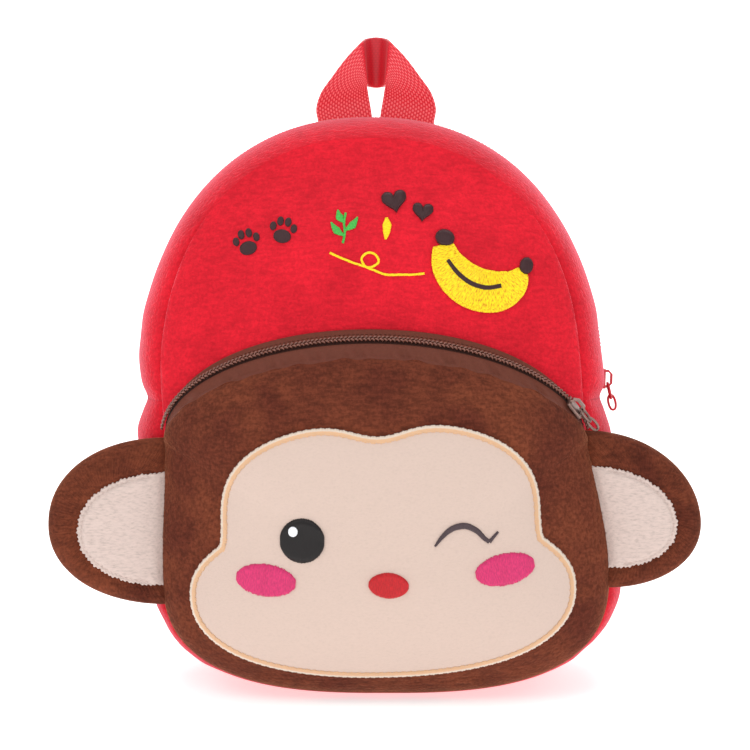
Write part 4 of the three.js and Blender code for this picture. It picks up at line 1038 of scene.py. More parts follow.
def gusset_strip(runs, columns, wall):
    """A closed strip of the gusset: its outer face by rows along the seam, and its lining one wall deeper.

    columns holds the share across and the depth of each line of points. Soft dents in the sides, which fade
    towards the crown, keep it from being a plain tube, and it is drawn in where the main zip ends.
    """
    across = columns[None, :, 0]
    depth = columns[None, :, 1]
    run = runs[:, None]
    height = seam_values(np.abs(run), SEAM_LINE[:, 1])
    place = run * SEAM_LENGTH
    inside = np.clip(across, 0, 1)
    soft = np.clip(np.sin(np.pi * inside), 0, 1) ** 0.6
    low = 1 - smooth((height - 128) / 46)
    on_floor = smooth((height - 8) / 14)
    by_seam = np.exp(-inside / 0.14) + np.exp(-np.clip(1 - across, 0, 1) / 0.14)
    above_end = height - ZIP_END_HEIGHT
    pinch = np.exp(-(above_end / 3.2) ** 2) + 0.5 * np.exp(-(above_end / 8) ** 2)
    folds = ripple(place + 9 * across, SIDE_FOLDS) + pinch * (0.7 + 1.9 * by_seam)
    sewn = np.exp(-across * MIDDLE_DEPTH / 6) + np.exp(-(1 - across) * MIDDLE_DEPTH / 6)
    dent = (0.06 + 0.94 * low) * on_floor * (folds * soft + 0.5 * (ripple(place, PUCKER) * sewn) * (soft > 0.05))
    outer = gusset_point(run, across, depth + dent)
    inner = gusset_point(run, across, depth + dent + wall)
    deep = 0.4 - 0.38 * near_crown(height)
    groove = deep * np.exp(-inside * MIDDLE_DEPTH / 1.6)
    groove = groove - deep * np.exp(-(1 - inside) * MIDDLE_DEPTH / 1.6)
    outer[..., 1] += groove
    inner[..., 1] += groove
    return slab(outer, inner)


ZIP_END = float(np.interp(ZIP_END_HEIGHT, SEAM_LINE[:, 1], np.linspace(0, 1, len(SEAM_LINE))))
HALF_COIL = (COIL_WIDTH / 2 + GAP) / MIDDLE_DEPTH
HALF_ZIP = HALF_COIL + (TAPE_WIDTH + GAP) / MIDDLE_DEPTH


def over_top(count, early=0.0):
    """Places along the seam over the top of the bag, from the right zip end to the left one."""
    runs = np.linspace(ZIP_END + early, 2 - ZIP_END - early, count)
    return np.where(runs > 1, runs - 2, runs)


def build_gussets(sizes):
    """The strip round the sides and base, and the two strips over the top beside the main zip."""
    red = get_material("cut_pile_plush_red")
    tuck = np.array([(-2.4, 0.0), (-1.2, 0.0)]) / (MIDDLE_DEPTH, 1)
    ease = (1 - np.cos(np.linspace(0, np.pi, 44))) / 2
    whole = np.concatenate([tuck, np.stack([ease, np.zeros(44)], 1), (1, 0) - tuck[::-1]])
    low = np.linspace(-ZIP_END, ZIP_END, 420)
    add_piece("side_and_base_strip", gusset_strip(low, whole, PLUSH_WALL), red, "red_plush", ["gusset_lower"])
    edge = 0.5 - HALF_ZIP
    rise = edge * (1 - np.cos(np.linspace(0, np.pi / 2, 22)))
    turned_in = np.array([(0.5, 0.25), (0.9, 0.8), (1.0, 1.4)]) / (MIDDLE_DEPTH, 1) + (edge, 0)
    half = np.concatenate([tuck, np.stack([rise, np.zeros(22)], 1), turned_in])
    half = half[np.concatenate([[True], np.diff(half[:, 0]) > 1e-6])]
    other = half * (-1, 1) + (1, 0)
    runs = over_top(420)
    for side, columns in (("front", half), ("back", other)):
        add_piece(f"top_strip_{side}", gusset_strip(runs, columns, PLUSH_WALL - 1), red, "red_plush",
                  [f"gusset_zip_{side}"])


# Zips
def coil_turns(middle, along, across, out, side, pitch, wire, width, height):
    """One side's turns of a nylon coil, set along a line.

    A turn is a bent wire that goes along by 0.9 of the pitch: up from the outer edge, and over and down to
    COIL_CLEAR short of the middle line.
    """
    t = np.linspace(0, 1, 7)
    edge = width / 2 - wire / 2
    path = np.stack([
        (0.9 * t - 0.45) * pitch, side * (edge - (edge - COIL_CLEAR) * t),
        wire * 0.4 + (height - 0.8 * wire) * np.sin(np.pi * (0.12 + 0.76 * t)) ** 0.7], 1)
    form = tube(path, wire / 2 * np.array([0.75, 1, 1, 1, 1, 1.1, 0.8]), UP, sides=6)
    run = run_of(middle)
    at = np.arange(pitch * (0.75 + 0.25 * side), run[-1] - pitch / 2, pitch)
    places, *axes = [at_run(values, run, at) for values in (middle, along, across, out)]
    return strewn(form, places, *[unit(axis) for axis in axes])


def stitches(line, out, pitch, size, radius, spare=0.0):
    """A row of stitches along a line: short capsules that dip at both ends, lifted along out."""
    t = np.linspace(-1, 1, 6)
    path = np.stack([t * size / 2, np.zeros(6), radius * (0.35 - 0.9 * t ** 4)], 1)
    form = tube(path, radius * np.array([0.35, 0.9, 1, 1, 0.9, 0.35]), UP, sides=6)
    run = run_of(line)
    at = np.arange(spare + pitch / 2, run[-1] - spare - pitch / 4, pitch)
    heading = unit(at_run(line, run, at + 0.3) - at_run(line, run, at - 0.3))
    side = unit(np.cross(at_run(out, run, at), heading))
    return strewn(form, at_run(line, run, at), heading, side, np.cross(heading, side))


def strip_frame(point, runs, across, lift):
    """Middle line, heading, across and outward directions of a strip that a point function describes."""
    step = 1e-3
    middle = point(runs, across, lift)
    heading = unit(np.gradient(middle, axis=0))
    sideways = unit(point(runs, across + step, lift) - point(runs, across - step, lift))
    out = unit(np.cross(heading, sideways))
    lifted = point(runs, across, lift + step) - middle
    out = out * np.sign(np.sum(out * lifted, 1, keepdims=True))
    return middle, heading, np.cross(out, heading), out


def tape_strip(point, runs, first, last, low, high, count, ruffle=None):
    """A closed strip of woven tape between two shares across, with its pattern map in real lengths."""
    share = np.linspace(first, last, count)[None, :]
    run = runs[:, None]
    extra = 0 if ruffle is None else ruffle(run, share)
    outer = point(run, share, high + extra)
    inner = point(run, share, low + extra)
    along = run_of(outer[:, count // 2])
    across = run_of(outer[len(runs) // 2])
    uv = np.stack(np.broadcast_arrays(along[:, None], across[None, :]), -1)
    return slab(outer, inner, uv=uv)


def coil_and_cord(name, point, runs, middle, lift, width, shade_cord, sizes, nodes):
    """Both rows of a zip's coil along a strip, and the filler cord inside them, made dark as painted shade
    between and beside the turns.
    """
    lines = strip_frame(point, runs, middle, lift)
    pitch, wire = sizes.coil_pitch / MM, sizes.coil_wire / MM
    turns = [coil_turns(*lines, side, pitch, wire, width, COIL_HEIGHT) for side in (-1, 1)]
    tone = {"pocket": "brown", "main": "red"}[name]
    slot = f"{tone}_coil"
    add_piece(f"{name}_zip_coil", joined(turns), get_material(f"nylon_coil_{tone}"), slot, nodes)
    add_piece(f"{name}_zip_cord", shade_cord, get_material(f"woven_cord_{tone}"), slot)


def pocket_ruffle(x, share):
    """How far the pocket's lower tape is gathered: waves that are strongest where the pile is sewn on."""
    near = np.clip(1.15 - 2.2 * share, 0, 1) * smooth((share + 0.02) / 0.12)
    return near * (ripple(x + 5 * share, TAPE_WAVES) - 1.0) * (1 - (np.abs(x) / ARCH_HALF) ** 6)


def build_pocket_zip(sizes):
    """Tapes, coil and stitching of the arched zip on the pocket."""
    runs = (ARCH_HALF - ZIP_END_INSET) * np.cos(np.linspace(0, np.pi, 420))
    tape = get_material("woven_tape_brown")
    low, high = BAND_LIFT - 0.4, BAND_LIFT + 0.9
    lower = tape_strip(band_point, runs, -0.06, 0.51, BAND_LIFT - 0.5, high, 20, pocket_ruffle)
    upper = tape_strip(band_point, runs, 0.74, 1.0, low, high, 12)
    add_piece("pocket_zip_lower_tape", lower, tape, "brown_tape", ["pocket_tape_lower"])
    add_piece("pocket_zip_upper_tape", upper, tape, "brown_tape", ["pocket_tape_upper"])
    # The dark cord fills the band between the tapes behind the coil: painted shade for the dark lines along the
    # coil and between its turns
    shade_cord = tape_strip(band_point, runs, 0.48, 0.78, low, BAND_LIFT + 0.3, 6)
    coil_and_cord("pocket", band_point, runs, 0.6, BAND_LIFT, 3.1, shade_cord, sizes, ["pocket_coil"])
    line, _, _, out = strip_frame(band_point, runs, 0.83, BAND_LIFT + 0.95)
    add_piece("pocket_zip_stitching", stitches(line, out, 1.9, 1.2, 0.24, 2), tape, "brown_tape")


def gusset_up(run, across, lift):
    """A place on the gusset by lift above its surface instead of depth."""
    return gusset_point(run, across, -lift)


def build_main_zip(sizes):
    """Tapes, coil and stitching of the main zip over the top."""
    runs = over_top(520, 0.001)
    tape = get_material("woven_tape_red")
    inner = 0.5 - HALF_COIL + 0.3 / MIDDLE_DEPTH
    outer = 0.5 - HALF_ZIP - 0.4 / MIDDLE_DEPTH
    for side, first, last in (("front", outer, inner), ("back", 1 - inner, 1 - outer)):
        strip = tape_strip(gusset_up, runs, first, last, -1.7, -0.75, 8)
        add_piece(f"main_zip_{side}_tape", strip, tape, "red_tape", [f"main_tape_{side}"])
    # The dark cord under the coil is painted shade between its turns
    shade_cord = tape_strip(gusset_up, runs, 0.5 - HALF_COIL, 0.5 + HALF_COIL, -2.2, -1.5, 6)
    coil_and_cord("main", gusset_up, runs, 0.5, -1.9, COIL_WIDTH, shade_cord, sizes, ["main_coil"])
    rows = []
    for share in (0.5 - HALF_COIL - 1 / MIDDLE_DEPTH, 0.5 + HALF_COIL + 1 / MIDDLE_DEPTH):
        line, _, _, out = strip_frame(gusset_up, runs, share, -0.7)
        rows.append(stitches(line, out, 2.1, 1.5, 0.2, 3))
    add_piece("main_zip_stitching", joined(rows), tape, "red_tape")


# Face and embroidery
def face_outline(count):
    """The face's edge: the farther of a muzzle and a brow superellipse each way, blended and tilted."""
    middle = np.array([0.0, 16.0])
    turn = np.linspace(0, 2 * np.pi, 1440, endpoint=False)
    sine, cosine = np.sin(turn), np.cos(turn)
    muzzle = np.stack([79.6 * bowed(cosine, 2.25), np.where(sine > 0, 33.0, 35.0) * bowed(sine, 2.25)], 1)
    brow_x = 65.2 * bowed(cosine, 2.5)
    dip = np.where(sine > 0, 5.7 * np.exp(-((brow_x / 11) ** 2) / 2), 0)
    brow = np.stack([brow_x, 32 + 39.2 * bowed(sine, 2.5) - dip], 1)
    way = np.linspace(0, 2 * np.pi, 2000, endpoint=False)
    x, y = middle[0] + np.cos(way), middle[1] + np.sin(way)
    rays = np.stack([reach_of(lobe, middle)(x, y) for lobe in (muzzle, brow)])
    sharp = 14.0
    blended = mix(rays.max(0), (rays ** sharp).sum(0) ** (1 / sharp), 0.6)
    reach = np.where(np.abs(rays[0] - rays[1]) > 14, rays.max(0), blended)
    line = turned(
        np.stack([middle[0] + np.cos(way) * reach, middle[1] + np.sin(way) * reach], 1), 1.6,
        (FACE_SHIFT, MUZZLE_HEIGHT))
    return evenly(np.concatenate([line, line[:1]]), count + 1)[:-1]


def face_front(x, z):
    """Depth of the face cloth's surface."""
    return pocket_front(x, z) - FACE_LIFT


def ribs(place, pitch, high):
    """Rounded ridges of threads that lie side by side: high times the square root of |sin|."""
    return high * np.sqrt(np.abs(np.sin(np.pi * place / pitch)))


def face_form():
    """The face cloth: it lies FACE_LIFT ahead of the pocket, and is drawn down where its border is sewn."""
    outline = face_outline(640)
    middle = np.array([FACE_SHIFT, 64.0])
    shares = outward(60, 1.4)
    x, z = fan(middle, outline, shares)
    inwards = (1 - shares) * away(outline[:, 0], outline[:, 1], middle)[None]
    top = on_surface(pocket_front, x, z, FACE_LIFT - SEWN_DOWN * np.exp(-inwards / 3.2))
    base = on_surface(pocket_front, x[::-6], z[::-6], 0.2)
    ends = [on_surface(pocket_front, *middle, lift) for lift in (FACE_LIFT, 0.2)]
    return pad(np.concatenate([top, base]), *ends)


def border_form(width, thread):
    """The face's border and its length: threads side by side across it, slanting a little, with uneven ends."""
    line = face_outline(3600)
    ahead = unit(np.roll(line, -1, 0) - np.roll(line, 1, 0))
    inward = np.stack([-ahead[:, 1], ahead[:, 0]], 1)
    run = run_of(np.concatenate([line, line[:1]]))
    total = run[-1]
    pitch = total / round(total / thread)
    run = run[:-1, None]
    across = np.linspace(0, 1, 10)[None, :]
    slant = run + 0.5 * across * width
    ragged = 0.22 * np.sin(2 * np.pi * run / (pitch * 5.37)) * np.sin(2 * np.pi * run / (pitch * 2.41))
    inset = -0.35 + across * width + 2 * ragged * (across ** 4 - 0.6 * (1 - across) ** 4)
    x, z = (line[:, k, None] + inward[:, k, None] * inset for k in (0, 1))
    dome = 0.62 * np.sqrt(np.clip(1 - (2 * across - 1) ** 4, 0, 1))
    raised = FACE_LIFT - SEWN_DOWN + dome + ribs(slant, pitch, 0.3) * (dome > 0.01)
    uv = np.stack(np.broadcast_arrays(slant, width * (1 - across)), -1)
    front, back = (on_surface(pocket_front, x, z, lift) for lift in (raised, 0.25))
    return slab(front, back, wrap=True, uv=uv), total


def build_face(sizes):
    """The pale face cloth and its raised satin border."""
    add_piece("face_cloth", face_form(), get_material("tricot_velour_face"), "face_velour", ["face_applique"])
    border, total = border_form(sizes.border / MM, sizes.thread / MM * 1.6)
    add_piece("face_border", border, get_material("satin_thread_border"), "face_velour", wrap_length=total)


def satin(
        places, heading, low, high, surface, lift, crown, pitch, jitter=0.0, seed=1, tatami=0.0, rows=14,
        turned_over=0.9):
    """A field of satin stitch: threads side by side, each from low to high along its heading.

    places are points along the field four to a thread, heading the threads' direction there. The field is a
    low dome whose edge is rounded over the distance turned_over, with a ridge on every thread, and tatami
    adds the dimples of broken rows.
    """
    count = len(places)
    run = run_of(places)
    thread = np.floor(run / pitch).astype(int)
    random = np.random.default_rng(seed)
    loose = random.uniform(-jitter, jitter, (2, thread.max() + 1))
    low = (low + loose[0][thread])[:, None]
    high = (high + loose[1][thread])[:, None]
    at = mix(low, high, np.linspace(0, 1, rows)[None, :])
    x = places[:, 0, None] + heading[:, 0, None] * at
    z = places[:, 1, None] + heading[:, 1, None] * at
    ends = np.minimum(run, run[-1] - run)[:, None]
    taper = np.clip(np.minimum(ends, np.minimum(at - low, high - at)) / turned_over, 0, 1)
    dome = crown * np.sqrt(1 - (1 - taper) ** 2)
    ridge = np.broadcast_to(ribs(run, pitch, 0.2)[:, None], (count, rows))
    dimple = tatami * np.abs(np.cos(np.pi * (at / 2.4 + 0.37 * thread[:, None]))) ** 8
    top = on_surface(surface, x, z, lift + dome + ridge - dimple)
    base = on_surface(surface, x, z, lift - 0.3)
    return slab(top, base, uv=np.stack(np.broadcast_arrays(run[:, None], at), -1))


def axes_of(tilt):
    """Two directions square to each other, turned by a tilt in degrees."""
    angle = np.radians(tilt)
    return np.array([np.cos(angle), np.sin(angle)]), np.array([-np.sin(angle), np.cos(angle)])


def oval(
        centre, half_width, half_height, tilt, surface, pitch, crown=0.8, jitter=0.15, seed=1, power=2.0,
        lift=0.1, turned_over=0.9):
    """An oval of satin stitch with its threads across its short way."""
    first, second = axes_of(tilt)
    reach = 0.985 * half_width
    s = np.linspace(-reach, reach, max(12, int(8 * half_width / pitch)))
    half = half_height * (1 - np.abs(s / half_width) ** power) ** (1 / power)
    places = np.asarray(centre) + s[:, None] * first
    heading = np.broadcast_to(second, places.shape)
    return satin(
        places, heading, -half, half, surface, lift, crown, pitch, jitter, seed, turned_over=turned_over)


def stroke(knots, half_widths, surface, pitch, crown=0.7, lift=0.1, jitter=0.05, seed=1, **more):
    """A line of satin stitch through knots, threads square to it, with its half width given at each knot."""
    knots = np.asarray(knots, float)
    total = run_of(through(knots, 200))[-1]
    places = through(knots, max(16, int(4 * total / pitch)))
    half = np.interp(np.linspace(0, 1, len(places)), np.linspace(0, 1, len(half_widths)), half_widths)
    ahead = unit(np.gradient(places, axis=0))
    heading = np.stack([-ahead[:, 1], ahead[:, 0]], 1)
    return satin(places, heading, -half, half, surface, lift, crown, pitch, jitter, seed, **more)


def heart(centre, width, tilt, surface, pitch, seed):
    """A heart of upright satin threads between its lobed top and its pointed foot."""
    half = width / 2
    turn = np.linspace(0.03, np.pi - 0.03, 240)
    edge_x = half * np.sin(turn) ** 3
    edge_z = half * (13 * np.cos(turn) - 5 * np.cos(2 * turn) - 2 * np.cos(3 * turn) - np.cos(4 * turn)) / 16
    crest = int(np.argmax(edge_x))
    s = np.linspace(-0.97 * half, 0.97 * half, max(40, int(8 * half / pitch)))
    top = np.interp(np.abs(s), edge_x[:crest + 1], edge_z[:crest + 1])
    foot = np.interp(np.abs(s), edge_x[crest:][::-1], edge_z[crest:][::-1])
    first, second = axes_of(tilt)
    places = np.asarray(centre) + s[:, None] * first
    heading = np.broadcast_to(second, places.shape)
    return satin(places, heading, foot, top, surface, 0.1, 1.5, pitch, 0.08, seed, turned_over=2.4)


def build_features(sizes):
    """Eye, glint, closed eye, nose and cheeks, all in satin stitch on the face cloth."""
    pitch = sizes.thread / MM
    for name, centre, wide, tall, tilt, crown, jitter, seed, more, thread, slot, nodes in FEATURES:
        form = oval(centre, wide, tall, tilt, face_front, pitch, crown, jitter, seed, **more)
        add_piece(name, form, get_material(f"satin_thread_{thread}"), slot, nodes)
    lid = [
        stroke(EYELID, [0.45, 0.85, 1.15, 1.3, 1.2, 1.0, 0.8], face_front, pitch * 0.85, 0.6, seed=8),
        stroke(LASH, [0.8, 0.6, 0.5], face_front, pitch * 0.85, 0.55, seed=9)]
    add_piece("closed_eye", joined(lid), get_material("satin_thread_grey"), "grey_thread", ["wink"])


def turned(points, tilt, centre):
    """Points in a plane turned by a tilt in degrees and moved to a centre."""
    angle = np.radians(tilt)
    points = np.asarray(points, float)
    x, y = points[..., 0], points[..., 1]
    return np.stack([
        centre[0] + x * np.cos(angle) - y * np.sin(angle), centre[1] + x * np.sin(angle) + y * np.cos(angle)], -1)


def paw(centre, size, tilt, surface, pitch, seed):
    """A plain paw print: one broad pad and four toes."""
    return joined([
        oval(turned(place, tilt, (0, 0)) * size + np.asarray(centre), wide * size, tall * size, tilt, surface,
             pitch, 0.5, 0.03, seed + at)
        for at, (place, wide, tall) in enumerate(PAW_SPOTS)])


def banana_forms(pitch):
    """The banana's filled field with the raised rims of its two long edges."""
    bend = through(BANANA, 61)
    spine, half = bend[:, :2], bend[:, 2]
    ahead = unit(np.gradient(spine, axis=0))
    aside = np.stack([-ahead[:, 1], ahead[:, 0]], 1)
    outer = spine - aside * (half - 0.5)[:, None]
    inner = spine + aside * (half - 0.4)[:, None]
    rim = [0.5, 0.7, 0.75, 0.75, 0.7, 0.5]
    brim = [0.4, 0.55, 0.6, 0.6, 0.55, 0.4]
    return [
        stroke(spine, half, red_front, pitch, 0.75, jitter=0.12, seed=13, tatami=0.16, rows=26),
        stroke(outer[1:-1], rim, red_front, pitch * 1.4, 0.3, lift=0.75, seed=14),
        stroke(inner[1:-1], brim, red_front, pitch * 1.4, 0.25, lift=0.75, seed=21)]


def build_embroidery(sizes):
    """Hearts, banana, curl of thread and small motifs on the red front."""
    pitch = sizes.thread / MM
    front = red_front
    hearts = [heart((8.1, 209.6), 10.8, 10, front, pitch, 11), heart((20, 205), 9.0, -6, front, pitch, 12)]
    dark = [
        oval((29.2, 194.0), 4.1, 3.5, -14, front, pitch, 1.6, 0.1, 15, lift=0.5, turned_over=2.6),
        oval((63.4, 182.2), 2.9, 3.6, -10, front, pitch, 1.5, 0.1, 16, lift=0.5, turned_over=2.4),
        stroke(SMILE, [0.8, 0.95, 1.0, 0.95, 0.9], front, pitch, 0.5, lift=0.8, seed=17),
        paw((-53.5, 191.5), 11, 14, front, pitch, 20), paw((-38.5, 196.5), 11, -8, front, pitch, 30)]
    yellow = [
        stroke(CURL, [0.5, 0.5], front, pitch * 1.3, 0.45, seed=18),
        stroke(DROP, [0.4, 1.5, 1.9, 0.5], front, pitch, 0.6, seed=19)]
    sprig = [stroke(STEM, [0.5, 0.5], front, pitch, 0.4, seed=40)]
    sprig += [stroke(leaf, [0.25, 1.7, 0.3], front, pitch, 0.6, seed=41 + at) for at, leaf in enumerate(LEAVES)]
    for name, forms, thread, slot, nodes in (
            ("heart_pair", hearts, "dark", "dark_thread", ["heart_large", "heart_small"]),
            ("banana_fill", banana_forms(pitch), "fill", "yellow_thread", ["banana"]),
            ("dark_motifs", dark, "dark", "dark_thread", []),
            ("yellow_curl", yellow, "yellow", "yellow_thread", []),
            ("green_sprig", sprig, "green", "yellow_thread", [])):
        add_piece(name, joined(forms), get_material(f"satin_thread_{thread}"), slot, nodes)


# Ears
def root_x(sign, z):
    """Where an ear's root lies on the side seam."""
    return sign * (seam_half(z) + GAP) + lean(z)


def ear_outline(sign, height, half, reach, inset, count):
    """Half a superellipse beside the seam, closed along its root."""
    turn = np.linspace(-np.pi / 2, np.pi / 2, 300)
    z = height + half * bowed(np.sin(turn), 2.15)
    x = root_x(sign, z) + sign * (inset + (reach - inset) * bowed(np.cos(turn), 2.15))
    root_z = np.linspace(height + half, height - half, 100)[1:-1]
    root = np.stack([root_x(sign, root_z) + sign * inset, root_z], 1)
    line = np.concatenate([np.stack([x, z], 1), root])
    return evenly(np.concatenate([line, line[:1]]), count + 1)[:-1]


def ear_plane(z):
    """Depth of the middle of an ear at a height."""
    return seam_front(z) - RIM_LIFT - 1.5


def cloth_moves(rings, first, last, held, cap):
    """How far each point of a padded shell moves in Blender's Cloth: pressure, no gravity, frames 1 to 20.

    held marks the points that seams keep in place. A move longer than cap is shortened to it. The copy that
    is simulated is taken away again, so no Cloth is left in the scene.
    """
    start = np.concatenate([rings.reshape(-1, 3), [first, last]])
    scene = bpy.context.scene
    piece = bpy.data.objects.new("pillow", mesh_of("pillow", pad(rings, first, last)))
    scene.collection.objects.link(piece)
    piece.vertex_groups.new(name="seams").add(np.flatnonzero(held).tolist(), 1.0, "REPLACE")
    cloth = piece.modifiers.new("Cloth", "CLOTH")
    cloth.settings.effector_weights.gravity = 0
    cloth.settings.use_pressure = True
    cloth.settings.uniform_pressure_force = 4
    cloth.settings.mass = 0.001
    cloth.settings.tension_stiffness = 5
    cloth.settings.compression_stiffness = 5
    cloth.settings.vertex_group_mass = "seams"
    cloth.point_cache.frame_start = 1
    cloth.point_cache.frame_end = 20
    for number in range(1, 21):
        scene.frame_set(number)
    done = piece.evaluated_get(bpy.context.evaluated_depsgraph_get())
    after = np.empty(start.size, np.float32)
    done.to_mesh().vertices.foreach_get("co", after)
    done.to_mesh_clear()
    bpy.data.objects.remove(piece)
    scene.frame_set(1)
    move = after.reshape(-1, 3) / MM - start
    far = np.linalg.norm(move, axis=1, keepdims=True)
    return move * np.minimum(1, cap / np.maximum(far, 1e-9))


def spread(table, shares, ways, middle, far):
    """Reads values, given by ring and direction round a middle, at any place: evened a little and blended."""
    even_ways = np.linspace(-np.pi, np.pi, 181)[:-1]
    even_shares = np.linspace(0, 1, 61)
    by_way = np.stack([np.interp(even_ways, ways, row, period=2 * np.pi) for row in table])
    grid = np.stack([np.interp(even_shares, shares, column) for column in by_way.T], 1)
    soft = np.hanning(9)[1:-1] / np.hanning(9).sum()
    grid = np.stack([np.convolve(np.pad(row, 3, mode="wrap"), soft, mode="valid") for row in grid])
    grid = np.stack([np.convolve(np.pad(column, 3, mode="edge"), soft, mode="valid") for column in grid.T], 1)

    def read(x, z):
        share = np.clip(np.hypot(x - middle[0], z - middle[1]) / far(x, z), 0, 1) * 60
        way = (np.arctan2(z - middle[1], x - middle[0]) + np.pi) / (2 * np.pi) * 180
        row = np.minimum(share.astype(int), 59)
        column = way.astype(int) % 180
        after = (column + 1) % 180
        low = mix(grid[row, column], grid[row, after], way % 1)
        return mix(low, mix(grid[row + 1, column], grid[row + 1, after], way % 1), share - row)
    return read


def ear_lines(side):
    """An ear's outline and its patch's, each with the middle that its rings start from and its reach."""
    sign, height, half, reach, patch_height, patch_half, patch_reach = EARS[side]
    outline = ear_outline(sign, height, half, reach, -1.6, 10 * EAR_AROUND)
    middle = np.array([float(root_x(sign, height)) + sign * reach * 0.42, height])
    patch = ear_outline(sign, patch_height, patch_half, patch_reach, -1.0, 420)
    patch_middle = np.array([float(root_x(sign, patch_height)) + sign * patch_reach * 0.45, patch_height])
    return {
        "sign": sign, "outline": outline, "middle": middle, "far": reach_of(outline, middle),
        "patch": patch, "patch_middle": patch_middle, "patch_far": reach_of(patch, patch_middle)}


def ear_thick(ear, x, z, front):
    """Half thickness of an ear: rounded at its rim, thinner by its root, hollowed in front by the patch."""
    far = ear["far"](x, z)
    share = np.clip(away(x, z, ear["middle"]) / far, 0, 1)
    rise = 1 - np.clip((1 - share) * far / 10, 0, 1)
    round_rim = np.sqrt(np.clip(1 - rise ** 2.2, 0, 1))
    patch_far = ear["patch_far"](x, z)
    inside = away(x, z, ear["patch_middle"]) / patch_far
    hollow = 1.5 * np.exp(-((inside - 1) * patch_far / 2.6) ** 2) + 1.1 * (1 - smooth((inside - 0.6) / 0.5))
    toward_root = 1 - 0.45 * np.exp(-np.abs(x - root_x(ear["sign"], z)) / 7)
    return (EAR_HALF_FRONT * round_rim - (hollow * round_rim if front else 0)) * toward_root


def ear_front(ear, x, z):
    """Depth of an ear's front before the simulation moves it."""
    return ear_plane(z) - ear_thick(ear, x, z, True)


def ear_back(ear, x, z):
    """Depth of an ear's back before the simulation moves it."""
    return ear_plane(z) + np.minimum(ear_thick(ear, x, z, False), EAR_HALF_BACK)


def closed_ear(ear, front, back):
    """Rings out over an ear's front and in over its back, and the two points that close them."""
    across, height = ear["middle"]
    tips = [np.array([across, rings[0, :, 1].mean(), height]) for rings in (front, back)]
    return np.concatenate([front, back[::-1][1:]]), *tips


def ear_moves(ear):
    """How padding moves an ear's front and back in depth, simulated on a coarse copy of the ear."""
    outline = ear["outline"][::10]
    shares = outward(EAR_RINGS, EAR_SPACING)
    x, z = fan(ear["middle"], outline, shares)
    front, back = (np.stack([x, surface(ear, x, z), z], -1) for surface in (ear_front, ear_back))
    rings, first, last = closed_ear(ear, front, back)
    rim = (EAR_RINGS - 1) * EAR_AROUND
    half = EAR_RINGS * EAR_AROUND
    held = np.zeros(rings.shape[0] * EAR_AROUND + 2, bool)
    held[:half] = (np.abs(away(x, z, ear["patch_middle"]) - ear["patch_far"](x, z)) < 2.2).ravel()
    held[rim:half] = True
    move = cloth_moves(rings, first, last, held, 3.0)[:, 1]
    grid = (EAR_RINGS, EAR_AROUND)
    front_rows = np.concatenate([np.full((1, EAR_AROUND), move[-2]), move[:half].reshape(grid)])
    back_rows = np.concatenate([np.full((1, EAR_AROUND), move[-1]), move[rim:-2].reshape(grid)[::-1]])
    steps = np.concatenate([[0], shares[:, 0]])
    way = way_from(outline[:, 0], outline[:, 1], ear["middle"])
    return [spread(rows, steps, way, ear["middle"], ear["far"]) for rows in (front_rows, back_rows)]


def ear_form(ear, front_move, back_move):
    """An ear's padded shell, puckered near its rim and faintly ribbed on its band."""
    shares = outward(56, EAR_SPACING)
    x, z = fan(ear["middle"], ear["outline"], shares)
    run = run_round(ear["outline"])[None]
    pucker = 0.5 * ripple(run, PUCKER) * (np.exp(-(1 - shares) * 8) * (1 - shares ** 30))
    courses = np.sin(2 * np.pi * run / EAR_RIB) * smooth((shares - 0.45) / 0.3) * (1 - shares ** 12)
    pucker = pucker + 0.16 * courses
    front = np.stack([x, ear_front(ear, x, z) + front_move(x, z) - pucker, z], -1)
    back = np.stack([x, ear_back(ear, x, z) + back_move(x, z) + pucker, z], -1)
    return pad(*closed_ear(ear, front, back))


def patch_form(ear, surface):
    """The patch sewn inside an ear: its edge is toothed a little, and a groove follows its stitches."""
    patch, middle, patch_far = ear["patch"], ear["patch_middle"], ear["patch_far"]
    run = run_round(patch)
    teeth = 2 * np.abs(2 * np.mod(run / 1.8, 1) - 1) - 1 + ripple(run, ((4.3, 0.5, 1.1), (7.9, 0.4, 2.0)))
    ragged = 1 + 0.36 * teeth / patch_far(patch[:, 0], patch[:, 1])
    shares = outward(40, 1.5)
    x, z = fan(middle, patch, shares * mix(1, ragged[None], shares ** 6))
    near = (1 - shares) * patch_far(x, z)
    free = smooth((np.abs(x - root_x(ear["sign"], z)) - 3) / 3)
    groove = 0.55 * free * np.exp(-((near - PATCH_INSET) / 0.7) ** 2)
    top = on_surface(surface, x, z, PATCH_LIFT - groove - 0.6 * np.exp(-near / 0.35))
    base = on_surface(surface, x[::-8], z[::-8], -0.3)
    ends = [on_surface(surface, *middle, lift) for lift in (PATCH_LIFT, -0.3)]
    return pad(np.concatenate([top, base]), *ends)


def patch_stitches(ear, surface):
    """Stitches inside the patch's edge, apart from the ear's root."""
    patch, middle = ear["patch"], ear["patch_middle"]
    line = middle + (patch - middle) * (1 - PATCH_INSET / ear["patch_far"](patch[:, 0], patch[:, 1]))[:, None]
    line = line[np.abs(line[:, 0] - root_x(ear["sign"], line[:, 1])) > 2.5]
    line = on_surface(surface, line[:, 0], line[:, 1], 0.72)
    return stitches(line, np.broadcast_to(-BEHIND, line.shape), 2.2, 1.3, 0.17)


